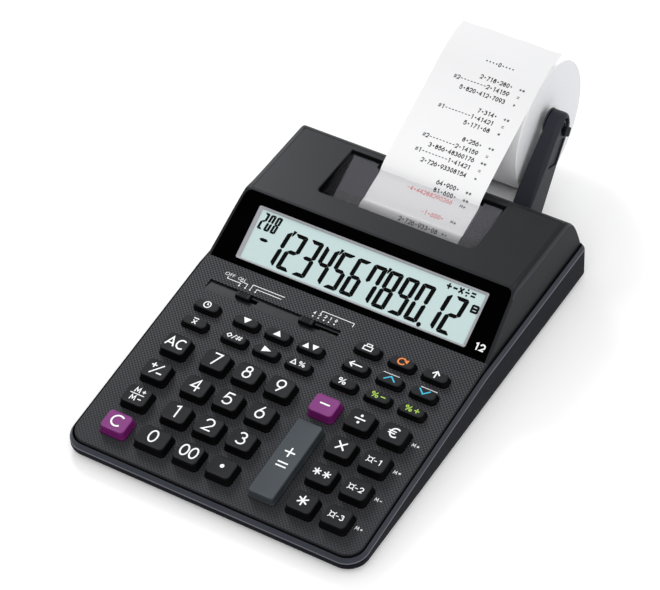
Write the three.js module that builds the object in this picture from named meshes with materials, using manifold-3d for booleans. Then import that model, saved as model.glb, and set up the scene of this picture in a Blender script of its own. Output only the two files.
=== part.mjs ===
// Printing desk calculator: tilted keyboard deck, sloped display, printer
// housing with a see-through paper cutter, and a paper roll on two rear arms.
// Millimetres. +X is right, +Y is back, +Z is up. The origin is at the middle
// of the bounding box, on the surface that the rubber feet stand on.
import * as THREE from 'three';
import { mergeVertices } from 'three/addons/utils/BufferGeometryUtils.js';
import Module from 'manifold-3d';

const wasm = await Module();
wasm.setup();

// ---------------------------------------------------------------- dimensions
const BODY_W = 165.6;            // overall width of the lower case
const BODY_D = 228.5;            // depth of the lower case
const HALF = BODY_W / 2;
const CORNER_FRONT = 11;         // plan radius of the front corners
const CORNER_REAR = 3.5;         // plan radius of the rear corners
const LEDGE_FRONT_Z = 4.9;       // height of the case's outer ledge at the front
const LEDGE_REAR_Z = 18.35;      // the same along the rear half
const DECK_ANGLE = 6.19;         // tilt of the keyboard deck, degrees
const TAN = Math.tan(DECK_ANGLE * Math.PI / 180);
const DECK_Z0 = 8.08;            // deck height extrapolated to y = 0
const DECK_HALF = 80.4;          // half width of the deck
const DECK_FRONT_Y = 2.5;
const DISP_Y0 = 129.2;           // foot of the display slope
const DISP_Z0 = DECK_Z0 + TAN * DISP_Y0;
const DISP_Y1 = 163.2;           // top of the display slope
const DISP_Z1 = 41.7;
const HOUSING_REAR_Y = 226;
const BELLY_Z = -0.5;            // underside of the case
const FLOOR_Z = 0.9;             // inner floor
const FOOT_Z = -2.0;             // bottom of the rubber feet
const DECK_THICK = 2.68;         // deck plate, measured upright

const KEY_W = 14.2, KEY_D = 12.2, KEY_H = 4.9;      // main key: skirt and height
const KEY_TOP_W = 12.9, KEY_TOP_D = 10.6;
const SKEY_W = 14.4, SKEY_D = 6.4, SKEY_H = 3.2;    // low function key
const SKEY_TOP_W = 12.8, SKEY_TOP_D = 5.0;
const KEY_GAP = 0.35;            // clearance between a key and its opening
const COLS = [-60.7, -37.8, -19.5, -0.9, 24.1, 43.7, 62.3];
const ROWS = [17.5, 35.1, 52.6, 70.4];              // front row first
const SROWS = [87.3, 98.7, 110.3];

const ROLL_Y = 278.6, ROLL_Z = 39.2, ROLL_R = 35.6; // paper roll
const ROLL_X0 = -23.3, ROLL_X1 = 34.2, CORE_R = 9.8;
const PIN_Y = 275.4, PIN_Z = 45.3, PIN_R = 2.6;     // pins of the arms
const TIP_Y = 272.5, TIP_Z = 49.0, TIP_R = 7.0;     // rounded end of the arms
const ARM_R = [36.2, 46.5];                         // right arm, inner and outer face
const ARM_L = [-34.9, -24.9];                       // left arm
const ARM_TAPER_R = 2.4, ARM_TAPER_L = 4.6;         // how much thinner each arm is at its tip
const TAPE_W = 57.2, TAPE_X = 4.15, TAPE_T = 0.3;   // printed paper
const PLATEN_Y = 189, PLATEN_Z = 28.6, PLATEN_R = 6.2;

const LIFT = -FOOT_Z;            // raises the feet to z = 0
const MID_Y = (ROLL_Y + ROLL_R) / 2;                // middle of the bounding box

// ------------------------------------------------------------------- helpers
const deckZ = (y) => DECK_Z0 + TAN * y;
function ledgeZ(y) {
  const k = LEDGE_FRONT_Z + TAN * y;
  return Math.min(k, LEDGE_REAR_Z);
}

function geomOf(vertices, triangles) {
  const g = new THREE.BufferGeometry();
  g.setAttribute('position', new THREE.Float32BufferAttribute(vertices, 3));
  g.setIndex(triangles);
  return g;
}

// Skin through stacked closed loops of equal length, with flat end caps.
// Loops run anticlockwise seen from the side the last loop faces.
function loft(loops) {
  const n = loops[0].length, v = [], t = [];
  for (const l of loops) for (const p of l) v.push(p[0], p[1], p[2]);
  for (let k = 0; k + 1 < loops.length; k++) {
    for (let i = 0; i < n; i++) {
      const a = k * n + i, b = k * n + (i + 1) % n, c = a + n, d = b + n;
      t.push(a, b, d, a, d, c);
    }
  }
  const cap = (l, base, flip) => {
    const pts = l.map((p) => new THREE.Vector2(p[0], p[1]));
    for (const f of THREE.ShapeUtils.triangulateShape(pts, [])) {
      if (flip) t.push(base + f[0], base + f[2], base + f[1]);
      else t.push(base + f[0], base + f[1], base + f[2]);
    }
  };
  cap(loops[0], 0, true);
  cap(loops[loops.length - 1], (loops.length - 1) * n, false);
  return geomOf(v, t);
}

// Rounded rectangle, anticlockwise, n segments to a corner.
function rrect(x0, x1, y0, y1, r, n, rb = r, sideY = []) {
  const out = [];
  const arc = (cx, cy, a0, rad) => {
    for (let i = 0; i <= n; i++) {
      const a = (a0 + 90 * i / n) * Math.PI / 180;
      out.push([cx + rad * Math.cos(a), cy + rad * Math.sin(a)]);
    }
  };
  arc(x1 - r, y0 + r, -90, r);
  for (const y of sideY) out.push([x1, y]);
  arc(x1 - rb, y1 - rb, 0, rb);
  arc(x0 + rb, y1 - rb, 90, rb);
  for (const y of [...sideY].reverse()) out.push([x0, y]);
  arc(x0 + r, y0 + r, 180, r);
  return out;
}

// Octagon with corners cut by c: one key or opening outline.
function octa(w, d, c) {
  const x = w / 2, y = d / 2;
  return [[x - c, -y], [x, -y + c], [x, y - c], [x - c, y],
          [-x + c, y], [-x, y - c], [-x, -y + c], [-x + c, -y]];
}

const at = (l, z) => l.map((p) => [p[0], p[1], z]);

function clean(g) {
  const h = g.clone();
  h.deleteAttribute('normal');
  h.deleteAttribute('uv');
  return mergeVertices(h, 1e-5);
}

function solid(g) {
  const h = clean(g);
  const pos = h.getAttribute('position');
  const idx = h.getIndex();
  return new wasm.Manifold(new wasm.Mesh({
    numProp: 3,
    vertProperties: new Float32Array(pos.array),
    triVerts: new Uint32Array(idx.array),
  }));
}

function back(m) {
  const q = m.getMesh();
  return geomOf(Array.from(q.vertProperties), Array.from(q.triVerts));
}

// Prism of a YZ outline between two X planes.
function prismX(yz, x0, x1) {
  const s = new THREE.Shape(yz.map((p) => new THREE.Vector2(p[0], p[1])));
  const g = new THREE.ExtrudeGeometry(s, { depth: x1 - x0, bevelEnabled: false, curveSegments: 1 });
  // local x, y, z become world y, z, x
  g.applyMatrix4(new THREE.Matrix4().set(0, 0, 1, x0, 1, 0, 0, 0, 0, 1, 0, 0, 0, 0, 0, 1));
  return g;
}

// Prism of an XZ outline between two Y planes.
function prismY(xz, y0, y1) {
  const s = new THREE.Shape(xz.map((p) => new THREE.Vector2(p[0], p[1])));
  const g = new THREE.ExtrudeGeometry(s, { depth: y1 - y0, bevelEnabled: false, curveSegments: 1 });
  // local x, y, z become world x, z, -y
  g.applyMatrix4(new THREE.Matrix4().set(1, 0, 0, 0, 0, 0, -1, y1, 0, 1, 0, 0, 0, 0, 0, 1));
  return g;
}

// Prism of an XY outline between two Z planes.
function prismZ(xy, z0, z1) {
  const s = new THREE.Shape(xy.map((p) => new THREE.Vector2(p[0], p[1])));
  const g = new THREE.ExtrudeGeometry(s, { depth: z1 - z0, bevelEnabled: false, curveSegments: 1 });
  g.translate(0, 0, z0);
  return g;
}

function box(x0, x1, y0, y1, z0, z1) {
  const g = new THREE.BoxGeometry(x1 - x0, y1 - y0, z1 - z0);
  g.translate((x0 + x1) / 2, (y0 + y1) / 2, (z0 + z1) / 2);
  return g;
}

function cylX(r, x0, x1, y, z, seg) {
  const g = new THREE.CylinderGeometry(r, r, x1 - x0, seg);
  g.rotateZ(-Math.PI / 2);
  g.translate((x0 + x1) / 2, y, z);
  return g;
}

function cylZ(r, x, y, z0, z1, seg) {
  const g = new THREE.CylinderGeometry(r, r, z1 - z0, seg);
  g.rotateX(Math.PI / 2);
  g.translate(x, y, (z0 + z1) / 2);
  return g;
}

// Places a shape built around the deck's own plane (z = 0 is the deck surface).
function onDeck(g, x, y) {
  const m = new THREE.Matrix4().makeRotationX(DECK_ANGLE * Math.PI / 180);
  m.setPosition(x, y, deckZ(y));
  return g.applyMatrix4(m);
}

const DISP_ANGLE = Math.atan2(DISP_Z1 - DISP_Z0, DISP_Y1 - DISP_Y0);
const DISP_LEN = Math.hypot(DISP_Z1 - DISP_Z0, DISP_Y1 - DISP_Y0);
// The same for the display slope: y runs up the slope, z is its outward normal.
function onSlope(g) {
  const m = new THREE.Matrix4().makeRotationX(DISP_ANGLE);
  m.setPosition(0, DISP_Y0, DISP_Z0);
  return g.applyMatrix4(m);
}

const group = new THREE.Group();
group.position.set(0, -MID_Y, LIFT);
function add(name, g, color, roughness = 0.6, metalness = 0) {
  const m = new THREE.Mesh(g, new THREE.MeshStandardMaterial({ color, roughness, metalness }));
  m.name = name;
  group.add(m);
  return m;
}

// --------------------------------------------------------------------- keys
// [name, column x, row y, kind, colour]
const DARK = 0x303133;
const KEYS = [
  ['key_all_clear', COLS[0], ROWS[3], 'main', DARK],
  ['key_sign', COLS[0], ROWS[2], 'main', DARK],
  ['key_markup', COLS[0], ROWS[1], 'main', DARK],
  ['key_clear', COLS[0], ROWS[0], 'main', 0x9a2f96],
  ['key_7', COLS[1], ROWS[3], 'main', DARK],
  ['key_4', COLS[1], ROWS[2], 'main', DARK],
  ['key_1', COLS[1], ROWS[1], 'main', DARK],
  ['key_0', -39.7, ROWS[0], 'wide', DARK],
  ['key_8', COLS[2], ROWS[3], 'main', DARK],
  ['key_5', COLS[2], ROWS[2], 'main', DARK],
  ['key_2', COLS[2], ROWS[1], 'main', DARK],
  ['key_00', COLS[2], ROWS[0], 'main', DARK],
  ['key_9', COLS[3], ROWS[3], 'main', DARK],
  ['key_6', COLS[3], ROWS[2], 'main', DARK],
  ['key_3', COLS[3], ROWS[1], 'main', DARK],
  ['key_point', COLS[3], ROWS[0], 'main', DARK],
  ['key_minus', COLS[4], ROWS[3], 'main', 0x9a2f96],
  ['key_plus_equals', 23.9, 35.1, 'tall', 0x50575c],
  ['key_divide', COLS[5], ROWS[3], 'main', DARK],
  ['key_multiply', COLS[5], ROWS[2], 'main', DARK],
  ['key_grand_total', COLS[5], ROWS[1], 'main', DARK],
  ['key_total', COLS[5], ROWS[0], 'main', DARK],
  ['key_convert', COLS[6], ROWS[3], 'main', DARK],
  ['key_rate_1', COLS[6], ROWS[2], 'main', DARK],
  ['key_rate_2', COLS[6], ROWS[1], 'main', DARK],
  ['key_rate_3', COLS[6], ROWS[0], 'main', DARK],
  ['key_clock', COLS[0], SROWS[1], 'low', DARK],
  ['key_average', COLS[0], SROWS[0], 'low', DARK],
  ['key_cost', COLS[1], SROWS[1], 'low', DARK],
  ['key_number', COLS[1], SROWS[0], 'low', DARK],
  ['key_sell', COLS[2], SROWS[1], 'low', DARK],
  ['key_shift', COLS[2], SROWS[0], 'low', DARK],
  ['key_margin', COLS[3], SROWS[1], 'low', DARK],
  ['key_change_percent', COLS[3], SROWS[0], 'low', DARK],
  ['key_print', COLS[4] + 0.6, SROWS[2], 'low', DARK],
  ['key_correct', COLS[4] + 0.6, SROWS[1], 'low', DARK],
  ['key_percent', COLS[4] + 0.6, SROWS[0], 'low', DARK],
  ['key_reprint', COLS[5], SROWS[2], 'low', DARK],
  ['key_up', COLS[5], SROWS[1], 'low', DARK],
  ['key_tax_minus', COLS[5], SROWS[0], 'low', DARK],
  ['key_feed', COLS[6], SROWS[2], 'low', DARK],
  ['key_down', COLS[6], SROWS[1], 'low', DARK],
  ['key_tax_plus', COLS[6], SROWS[0], 'low', DARK],
];
const SIZE = {
  main: [KEY_W, KEY_D, KEY_TOP_W, KEY_TOP_D, KEY_H],
  wide: [KEY_W + 3, KEY_D, KEY_TOP_W + 3, KEY_TOP_D, KEY_H],
  tall: [KEY_W, 47.8, KEY_TOP_W, 46.2, KEY_H],
  low: [SKEY_W, SKEY_D, SKEY_TOP_W, SKEY_TOP_D, SKEY_H],
};
const FLANGE_TOP = -2.97, FLANGE_BOTTOM = -3.6, PLUNGER_BOTTOM = -4.6;

// Skirt, tapered cap, retaining flange under the deck, and plunger.
function keyBody(kind) {
  const [w, d, tw, td, h] = SIZE[kind];
  const c = kind === 'low' ? 1.7 : 1.1;
  const stem = octa(5, 5, 1.46);
  return loft([
    at(stem, PLUNGER_BOTTOM),
    at(stem, FLANGE_BOTTOM),
    at(octa(w + 1.6, d + 1.6, c + 0.4), FLANGE_BOTTOM),
    at(octa(w + 1.6, d + 1.6, c + 0.4), FLANGE_TOP),
    at(octa(w, d, c), FLANGE_TOP + 0.001),
    at(octa(w, d, c), 0.8),
    at(octa(tw + 0.5, td + 0.5, c), h - 0.7),
    at(octa(tw - 0.9, td - 0.9, c - 0.2), h),
  ]);
}

for (const [name, x, y, kind, color] of KEYS) {
  add(name, onDeck(keyBody(kind), x, y), color, 0.55);
}

// -------------------------------------------------------------- bottom case
const SIDE_Y = [60, 112, 124, 136, 180];
function caseLoop(inset, zf) {
  const l = rrect(-HALF + inset, HALF - inset, inset, BODY_D - inset,
    CORNER_FRONT - inset, 6, Math.max(CORNER_REAR - inset, 0.4), SIDE_Y);
  return l.map((p) => [p[0], p[1], zf(p[1])]);
}
const BAY = { x0: -20.5, x1: 32.5, y0: 171, y1: 224, z1: 17.5 };
{
  let m = solid(loft([
    caseLoop(3.2, () => BELLY_Z),
    caseLoop(0, () => 1.5),
    caseLoop(0, (y) => ledgeZ(y)),
    caseLoop(1.4, (y) => ledgeZ(y) + 2.2),
    caseLoop(1.8, (y) => ledgeZ(y) + 2.2),
    caseLoop(2.3, () => FLOOR_Z),
  ]));
  // rubber feet moulded to the underside
  for (const [x, y] of [[-66, 22], [66, 22], [-66, 206], [66, 206]]) {
    m = m.add(solid(cylZ(6, x, y, FOOT_Z, FLOOR_Z - 0.3, 16)));
  }
  // screw pillars
  for (const x of [-76.3, 76.3]) {
    for (const y of [14, 70, 118]) {
      m = m.add(solid(cylZ(2.6, x, y, FLOOR_Z - 0.5, deckZ(y) - DECK_THICK - 0.7, 8)));
    }
  }
  // battery bay with its roof, open below where the door slides out
  m = m.add(solid(box(BAY.x0 - 3.3, BAY.x1 + 3.3, 166, 227, BELLY_Z + 0.2, BAY.z1 + 1)));
  m = m.subtract(solid(box(BAY.x0, BAY.x1, BAY.y0, BAY.y1, BELLY_Z - 2, BAY.z1)));
  m = m.subtract(solid(box(BAY.x0 - 1.8, BAY.x1 + 1.8, 167.7, BODY_D + 2, BELLY_Z - 1, 1.15)));
  // sockets for the tongues of the roll arms
  m = m.subtract(solid(box(ARM_R[0] + 0.7, ARM_R[1] - 0.7, 220, BODY_D + 1, 4.7, 15.3)));
  m = m.subtract(solid(box(ARM_L[0] + 0.7, ARM_L[1] - 0.7, 220, BODY_D + 1, 4.7, 15.3)));
  add('bottom_case', back(m), 0x2b2e38, 0.55);
}

// -------------------------------------------------------------- battery door
add('battery_door', prismX([[168, BELLY_Z], [225.3, BELLY_Z], [227.46, 0.85], [168, 0.85]], BAY.x0 - 1.5, BAY.x1 + 1.5), 0x2b2e38, 0.6);

// ----------------------------------------------------------------- top case
const COVER = { x: 74.4, y0: 164.2, y1: 216 };
const RECESS = { x0: -44.3, x1: 45, y0: 177.9, y1: 213.2 };
const RZ = 0.01;                                   // fall of the roof per mm
const roofZ = (y) => DISP_Z1 - RZ * (y - DISP_Y1);
const REAR_CURVE = [[216, roofZ(216)], [218.6, 40.0], [221.2, 37.6], [223.4, 33.6], [224.9, 28.6],
  [HOUSING_REAR_Y, 21.5], [HOUSING_REAR_Y, LEDGE_REAR_Z + 0.5]];
{
  const kink = (LEDGE_REAR_Z - LEDGE_FRONT_Z) / TAN;
  const outer = [
    [DECK_FRONT_Y, ledgeZ(DECK_FRONT_Y) + 0.5],
    [kink, LEDGE_REAR_Z + 0.5],
    [HOUSING_REAR_Y, LEDGE_REAR_Z + 0.5],
    ...REAR_CURVE.slice(0, -1).reverse(),
    [DISP_Y1 + 0.7, roofZ(DISP_Y1)],
    [DISP_Y1 - 0.3, DISP_Z1 - 0.25],
    [DISP_Y0, DISP_Z0],
    [DECK_FRONT_Y + 0.6, deckZ(DECK_FRONT_Y + 0.6)],
    [DECK_FRONT_Y, deckZ(DECK_FRONT_Y) - 0.5],
  ];
  let m = solid(prismX(outer, -90, 90));
  // plan outline with rounded front corners
  m = m.intersect(solid(prismZ(rrect(-DECK_HALF, DECK_HALF, DECK_FRONT_Y, HOUSING_REAR_Y, 9, 6, 2.2), -10, 60)));
  // side walls lean in above the ledge and round over at the roof
  const xz = [[DECK_HALF + 5, -10], [DECK_HALF + 5, 20.3], [DECK_HALF, 20.3], [77.95, 39.6],
    [77.55, 40.7], [76.9, 41.4], [75.9, 41.9], [75.9, 60]];
  const full = [...xz, ...xz.map((p) => [-p[0], p[1]]).reverse()];
  m = m.intersect(solid(prismY(full, -5, 300)));
  // hollow under the display slope and the roof
  const d = 3.0, cs = Math.cos(DISP_ANGLE), sn = Math.sin(DISP_ANGLE);
  const hollow = [
    [DISP_Y0 + 4, 10],
    [HOUSING_REAR_Y - 2.4, 10], [HOUSING_REAR_Y - 2.4, 21.5], [221.6, 32], [218.4, 37.0], [214.5, roofZ(216) - 2.6],
    [DISP_Y1 + 1.6, roofZ(DISP_Y1) - 2.6],
    [DISP_Y0 + 4, DISP_Z0 + 4 * sn / cs - d / cs],
  ];
  m = m.subtract(solid(prismX(hollow, -72.4, 72.4)));
  // rebate and opening for the printer cover
  m = m.subtract(solid(box(-COVER.x - 0.3, COVER.x + 0.3, COVER.y0 - 0.3, COVER.y1 + 0.3, DISP_Z1 - 3.0, 60)));
  m = m.subtract(solid(box(-72.4, 72.4, COVER.y0 + 2.4, COVER.y1 - 2.4, 30, 60)));
  // recess for the display window
  const rec = [[-78.6, 0], [78.6, 0], [76.6, 33.5], [75.6, 37.4], [73.4, 39.1], [-73.4, 39.1], [-75.6, 37.4], [-76.6, 33.5]];
  m = m.subtract(solid(onSlope(prismZ(rec, -1.4, 10))));
  // opening for the liquid-crystal panel
  m = m.subtract(solid(onSlope(box(-66.2, 66.2, 3.3, 33.4, -8, 0))));
  // key openings
  for (const [, x, y, kind] of KEYS) {
    const [w, dd] = SIZE[kind];
    const c = (kind === 'low' ? 1.7 : 1.1) + 0.1;
    m = m.subtract(solid(onDeck(prismZ(octa(w + 2 * KEY_GAP, dd + 2 * KEY_GAP, c), -5, 2), x, y)));
  }
  // sunken strip and slots of the two slide switches
  m = m.subtract(solid(onDeck(prismX([[-3.9, 0.0], [3.5, -1.1], [3.5, 1], [-3.9, 1]], -69, 9), 0, 112.5)));
  m = m.subtract(solid(onDeck(box(-59.4, -40.8, -0.9, 1.8, -5, 2), 0, 112.5)));
  m = m.subtract(solid(onDeck(box(-16.6, 5.4, -0.9, 1.8, -5, 2), 0, 112.5)));
  // paper inlet at the rear
  m = m.subtract(solid(box(-25.5, 38, 215, 235, 22.3, 26.6)));
  add('top_case', back(m), 0x3a3b3e, 0.6);
}

// ------------------------------------------------------------ display window
{
  const plate = [[-78.3, 0.3], [78.3, 0.3], [76.3, 33.4], [75.3, 37.2], [73.2, 38.8],
    [-73.2, 38.8], [-75.3, 37.2], [-76.3, 33.4]];
  let m = solid(onSlope(prismZ(plate, -1.1, -0.1)));
  m = m.subtract(solid(onSlope(box(-65.9, 65.9, 3.6, 33.1, -5, 5))));
  add('display_window', back(m), 0x050505, 0.1);
}
add('lcd_panel', onSlope(box(-65.6, 65.6, 3.9, 32.8, -3.6, -0.9)), 0xc6dcdc, 0.2);

// ------------------------------------------------------------- printer cover
{
  const top = [[COVER.y0, roofZ(COVER.y0)], [COVER.y1, roofZ(COVER.y1)],
    [COVER.y1, DISP_Z1 - 2.7], [COVER.y0, DISP_Z1 - 2.7]].reverse();
  let m = solid(prismX(top, -COVER.x, COVER.x));
  // walls of the sunken cutter pocket
  m = m.add(solid(box(RECESS.x0 - 1.6, RECESS.x1 + 1.6, RECESS.y0 - 1.6, RECESS.y1, 35.2, 40)));
  const pocket = [[RECESS.x0, RECESS.y0 + 2.5], [RECESS.x0 + 2.5, RECESS.y0], [RECESS.x1 - 4.5, RECESS.y0],
    [RECESS.x1 - 1.2, RECESS.y0 + 1.4], [RECESS.x1, RECESS.y0 + 5], [RECESS.x1, RECESS.y1], [RECESS.x0, RECESS.y1]];
  m = m.subtract(solid(prismZ(pocket, 30, 50)));
  add('printer_cover', back(m), 0x3a3b3e, 0.6);
}

// --------------------------------------------------------------- paper cutter
// Smoked plate that rises to the rear, its middle edge set back and toothed.
{
  const y0 = RECESS.y0 + 0.35, y1 = 209.2;
  const slope = (y) => 37.2 + (y - 180) * (42.3 - 37.2) / 29;
  const prof = [[y0, slope(y0) - 1.2], [y1, slope(y1) - 1.2], [y1, slope(y1)], [y0, slope(y0)]];
  let m = solid(prismX(prof, RECESS.x0 + 0.35, RECESS.x1 - 0.35));
  const plan = [[RECESS.x0 + 0.35, y0 + 2.5], [RECESS.x0 + 2.85, y0], [RECESS.x1 - 4.7, y0],
    [RECESS.x1 - 1.5, y0 + 1.4], [RECESS.x1 - 0.35, y0 + 5], [RECESS.x1 - 0.35, y1 + 3]];
  plan.push([34.6, y1 + 3], [34.6, y1 - 3.2]);
  const teeth = 29;
  for (let i = 0; i < teeth; i++) {
    const a = 34.2 - (i + 0.5) * 60.2 / teeth, b = 34.2 - (i + 1) * 60.2 / teeth;
    plan.push([a, y1 - 2.6], [b, y1 - 3.2]);
  }
  plan.push([-26.4, y1 - 3.2], [-26.4, y1 + 3], [RECESS.x0 + 0.35, y1 + 3]);
  m = m.intersect(solid(prismZ(plan, 30, 50)));
  add('paper_cutter', back(m), 0x5a5c61, 0.2);
}

// ------------------------------------------------------------- roll and arms
// Side view of an arm: foot against the rear wall, straight rise, round end.
function armProfile() {
  const p = [[228.8, 3.2], [242.6, 3.2], [245.4, 4.6], [248.1, 7.8], [263.9, 28.6]];
  for (let a = -40; a <= 150; a += 19) {
    const r = a * Math.PI / 180;
    p.push([TIP_Y + TIP_R * Math.cos(r), TIP_Z + TIP_R * Math.sin(r)]);
  }
  p.push([261, 47.4], [252, 38.4], [235.9, 21.8], [232.6, 18.6], [228.8, 17.0]);
  return p;
}
// Slab beyond the leaning plane that thins an arm from y 252, z 16 to its tip.
function armWedge(x, taper) {
  const dy = TIP_Y - 252, dz = TIP_Z - 16, len = Math.hypot(dy, dz);
  const uy = dy / len, uz = dz / len;
  const s = new THREE.Shape([[0, x], [len * 1.4, x + taper * 1.4], [len * 1.4, x - 6], [0, x - 6]]
    .reverse().map((p) => new THREE.Vector2(p[0], p[1])));
  const g = new THREE.ExtrudeGeometry(s, { depth: 60, bevelEnabled: false, curveSegments: 1 });
  g.translate(0, 0, -30);
  // local x runs up the arm, local y is world x, local z is square to both
  g.applyMatrix4(new THREE.Matrix4().set(0, 1, 0, 0, uy, 0, uz, 252, uz, 0, -uy, 16, 0, 0, 0, 1));
  return solid(g);
}
function arm(x0, x1, side) {
  let m = solid(prismX(armProfile(), x0, x1));
  m = m.subtract(armWedge(x0, side > 0 ? ARM_TAPER_R : ARM_TAPER_L));
  // tongue that snaps into the rear wall
  m = m.add(solid(box(x0 + 1.1, x1 - 1.1, 223.5, 230, 5.1, 14.9)));
  // disc and pin that carry the roll, and the boss on the outside
  if (side > 0) {
    m = m.add(solid(cylX(7.0, x0 + ARM_TAPER_R - 1.4, x0 + ARM_TAPER_R + 1, TIP_Y, TIP_Z, 20)));
    m = m.add(solid(cylX(PIN_R, x0 - 9, x0 + ARM_TAPER_R + 1, PIN_Y, PIN_Z, 16)));
    m = m.add(solid(cylX(4.2, x1 - 1, x1 + 1.3, 275.2, 46.4, 16)));
  } else {
    m = m.add(solid(cylX(7.0, x1 - 1, x1 + 1.1, TIP_Y, TIP_Z, 20)));
    m = m.add(solid(cylX(PIN_R, x1 - 1, x1 + 9, PIN_Y, PIN_Z, 16)));
  }
  return back(m);
}
add('right_arm', arm(ARM_R[0], ARM_R[1], 1), 0x2c2f38, 0.55);
add('left_arm', arm(ARM_L[0], ARM_L[1], -1), 0x2c2f38, 0.55);

{
  const L = ROLL_X1 - ROLL_X0;
  const g = new THREE.LatheGeometry([
    new THREE.Vector2(CORE_R, 0), new THREE.Vector2(ROLL_R, 0),
    new THREE.Vector2(ROLL_R, L), new THREE.Vector2(CORE_R, L), new THREE.Vector2(CORE_R, 0),
  ], 48);
  g.rotateZ(-Math.PI / 2);
  g.translate(ROLL_X0, ROLL_Y, ROLL_Z);
  add('paper_roll', back(solid(g)), 0xf2f2f2, 0.9);
}

// --------------------------------------------------------------- paper tape
// Path of the paper: off the roll's underside, in at the rear, round the
// platen, out under the cutter and back over the roll.
{
  const path = [];
  // tangent from the inlet to the roll's underside
  const rr = ROLL_R + 0.3 + TAPE_T / 2;
  const iy = 226, iz = 24.4;
  const dx = ROLL_Y - iy, dz = ROLL_Z - iz, dist = Math.hypot(dx, dz);
  const ang = Math.atan2(dz, dx) - Math.asin(rr / dist);
  const len = Math.sqrt(dist * dist - rr * rr);
  path.push([iy + len * Math.cos(ang), iz + len * Math.sin(ang)]);
  path.push([iy + 0.5 * len * Math.cos(ang), iz + 0.5 * len * Math.sin(ang) - 0.5]);
  path.push([iy + 2, iz - 1.0], [iy - 4, iz - 0.2], [212, 23.6]);
  // round the platen
  const pr = PLATEN_R + 0.3 + TAPE_T / 2;
  for (let a = -84; a >= -282; a -= 18) {
    const r = a * Math.PI / 180;
    path.push([PLATEN_Y + pr * Math.cos(r), PLATEN_Z + pr * Math.sin(r)]);
  }
  // under the cutter, then up and over the roll
  path.push([197, 37.4], [205.0, 39.5], [207.3, 40.9], [208.2, 43.3], [222, 50.5], [237.1, 58.3], [252, 65.8], [266.7, 73.4],
    [272, 75.8], [277.1, 77.6], [284, 79.0], [290.7, 79.2]);
  // thicken the path
  const n = path.length, up = [], dn = [];
  for (let i = 0; i < n; i++) {
    const a = path[Math.max(0, i - 1)], b = path[Math.min(n - 1, i + 1)];
    const l = Math.hypot(b[0] - a[0], b[1] - a[1]);
    const ny = -(b[1] - a[1]) / l, nz = (b[0] - a[0]) / l;
    up.push([path[i][0] + ny * TAPE_T / 2, path[i][1] + nz * TAPE_T / 2]);
    dn.push([path[i][0] - ny * TAPE_T / 2, path[i][1] - nz * TAPE_T / 2]);
  }
  const g = prismX([...dn, ...up.reverse()], TAPE_X - TAPE_W / 2, TAPE_X + TAPE_W / 2);
  // the free end drifts a little to the right
  const pos = g.getAttribute('position');
  for (let i = 0; i < pos.count; i++) {
    const y = pos.getY(i);
    if (pos.getZ(i) > 42 && y > 207) pos.setX(i, pos.getX(i) + 0.029 * (y - 207));
    // the paper leaves the roll a little further right than it prints
    if (pos.getZ(i) < 26 && y > 200) pos.setX(i, pos.getX(i) + 1.3);
  }
  add('paper_tape', clean(g), 0xf7f7f7, 0.85);
}

// -------------------------------------------------------- printer and platen
{
  let m = solid(box(-31, 40, 169, 206, 18.9, 19.9));
  m = m.add(solid(box(-31, -29.5, 176, 201, 19, 35)));
  m = m.add(solid(box(38.5, 40, 176, 201, 19, 35)));
  m = m.add(solid(box(-31, 40, 169, 177.5, 19, 33)));
  for (const x of [-30.2, 39.2]) {
    m = m.subtract(solid(cylX(2.4, x - 2, x + 2, PLATEN_Y, PLATEN_Z, 12)));
  }
  add('printer_mechanism', back(m), 0x777a80, 0.4, 0.6);
}
{
  let m = solid(cylX(PLATEN_R, -28.5, 37.5, PLATEN_Y, PLATEN_Z, 32));
  m = m.add(solid(cylX(2.0, -33, 42, PLATEN_Y, PLATEN_Z, 12)));
  add('platen_roller', back(m), 0x1e1e1e, 0.9);
}

// ------------------------------------------------------ board and rubber mat
add('main_board', onDeck(box(-71, 71, -55, 54, -8.4, -7.4), 0, 68), 0x1f5a35, 0.6);
{
  const s = new THREE.Shape([[-71, 11], [71, 11], [71, 117], [-71, 117]].map((p) => new THREE.Vector2(p[0], p[1])));
  const cosd = Math.cos(DECK_ANGLE * Math.PI / 180);
  for (const [, x, y] of KEYS) {
    const hole = [];
    // hole centre in the mat's own plane, along the key's line of travel
    const v = y / cosd;
    for (let i = 0; i < 6; i++) {
      const a = i * Math.PI / 3;
      hole.push(new THREE.Vector2(x + 3.5 * Math.cos(a), v + 3.5 * Math.sin(a)));
    }
    s.holes.push(new THREE.Path(hole));
  }
  const g = new THREE.ExtrudeGeometry(s, { depth: 0.7, bevelEnabled: false, curveSegments: 1 });
  g.translate(0, 0, -7.1);
  add('key_mat', onDeck(g, 0, 0), 0xb9bcc0, 0.9);
}

// ------------------------------------------------------------ slide switches
function knob(x) {
  let m = solid(loft([
    at(octa(8.4, 3.6, 0.5), -0.35), at(octa(8.4, 3.6, 0.5), 0.5), at(octa(7.4, 2.7, 0.5), 2.0),
  ]));
  m = m.add(solid(box(-3.4, 3.4, -0.95, 0.95, -3.4, 0)));
  m = m.add(solid(box(-6, 6, -2.6, 2.6, -3.9, -3.05)));
  return onDeck(back(m), x, 112.95);
}
add('power_switch_knob', knob(-48.7), 0x3b3c3f, 0.6);
add('decimal_switch_knob', knob(-12.1), 0x3b3c3f, 0.6);

export default group;
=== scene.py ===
"""Looks of the printing desk calculator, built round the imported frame."""
import math

import bmesh
import bpy
import numpy as np
from mathutils import Matrix, Vector


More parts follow.
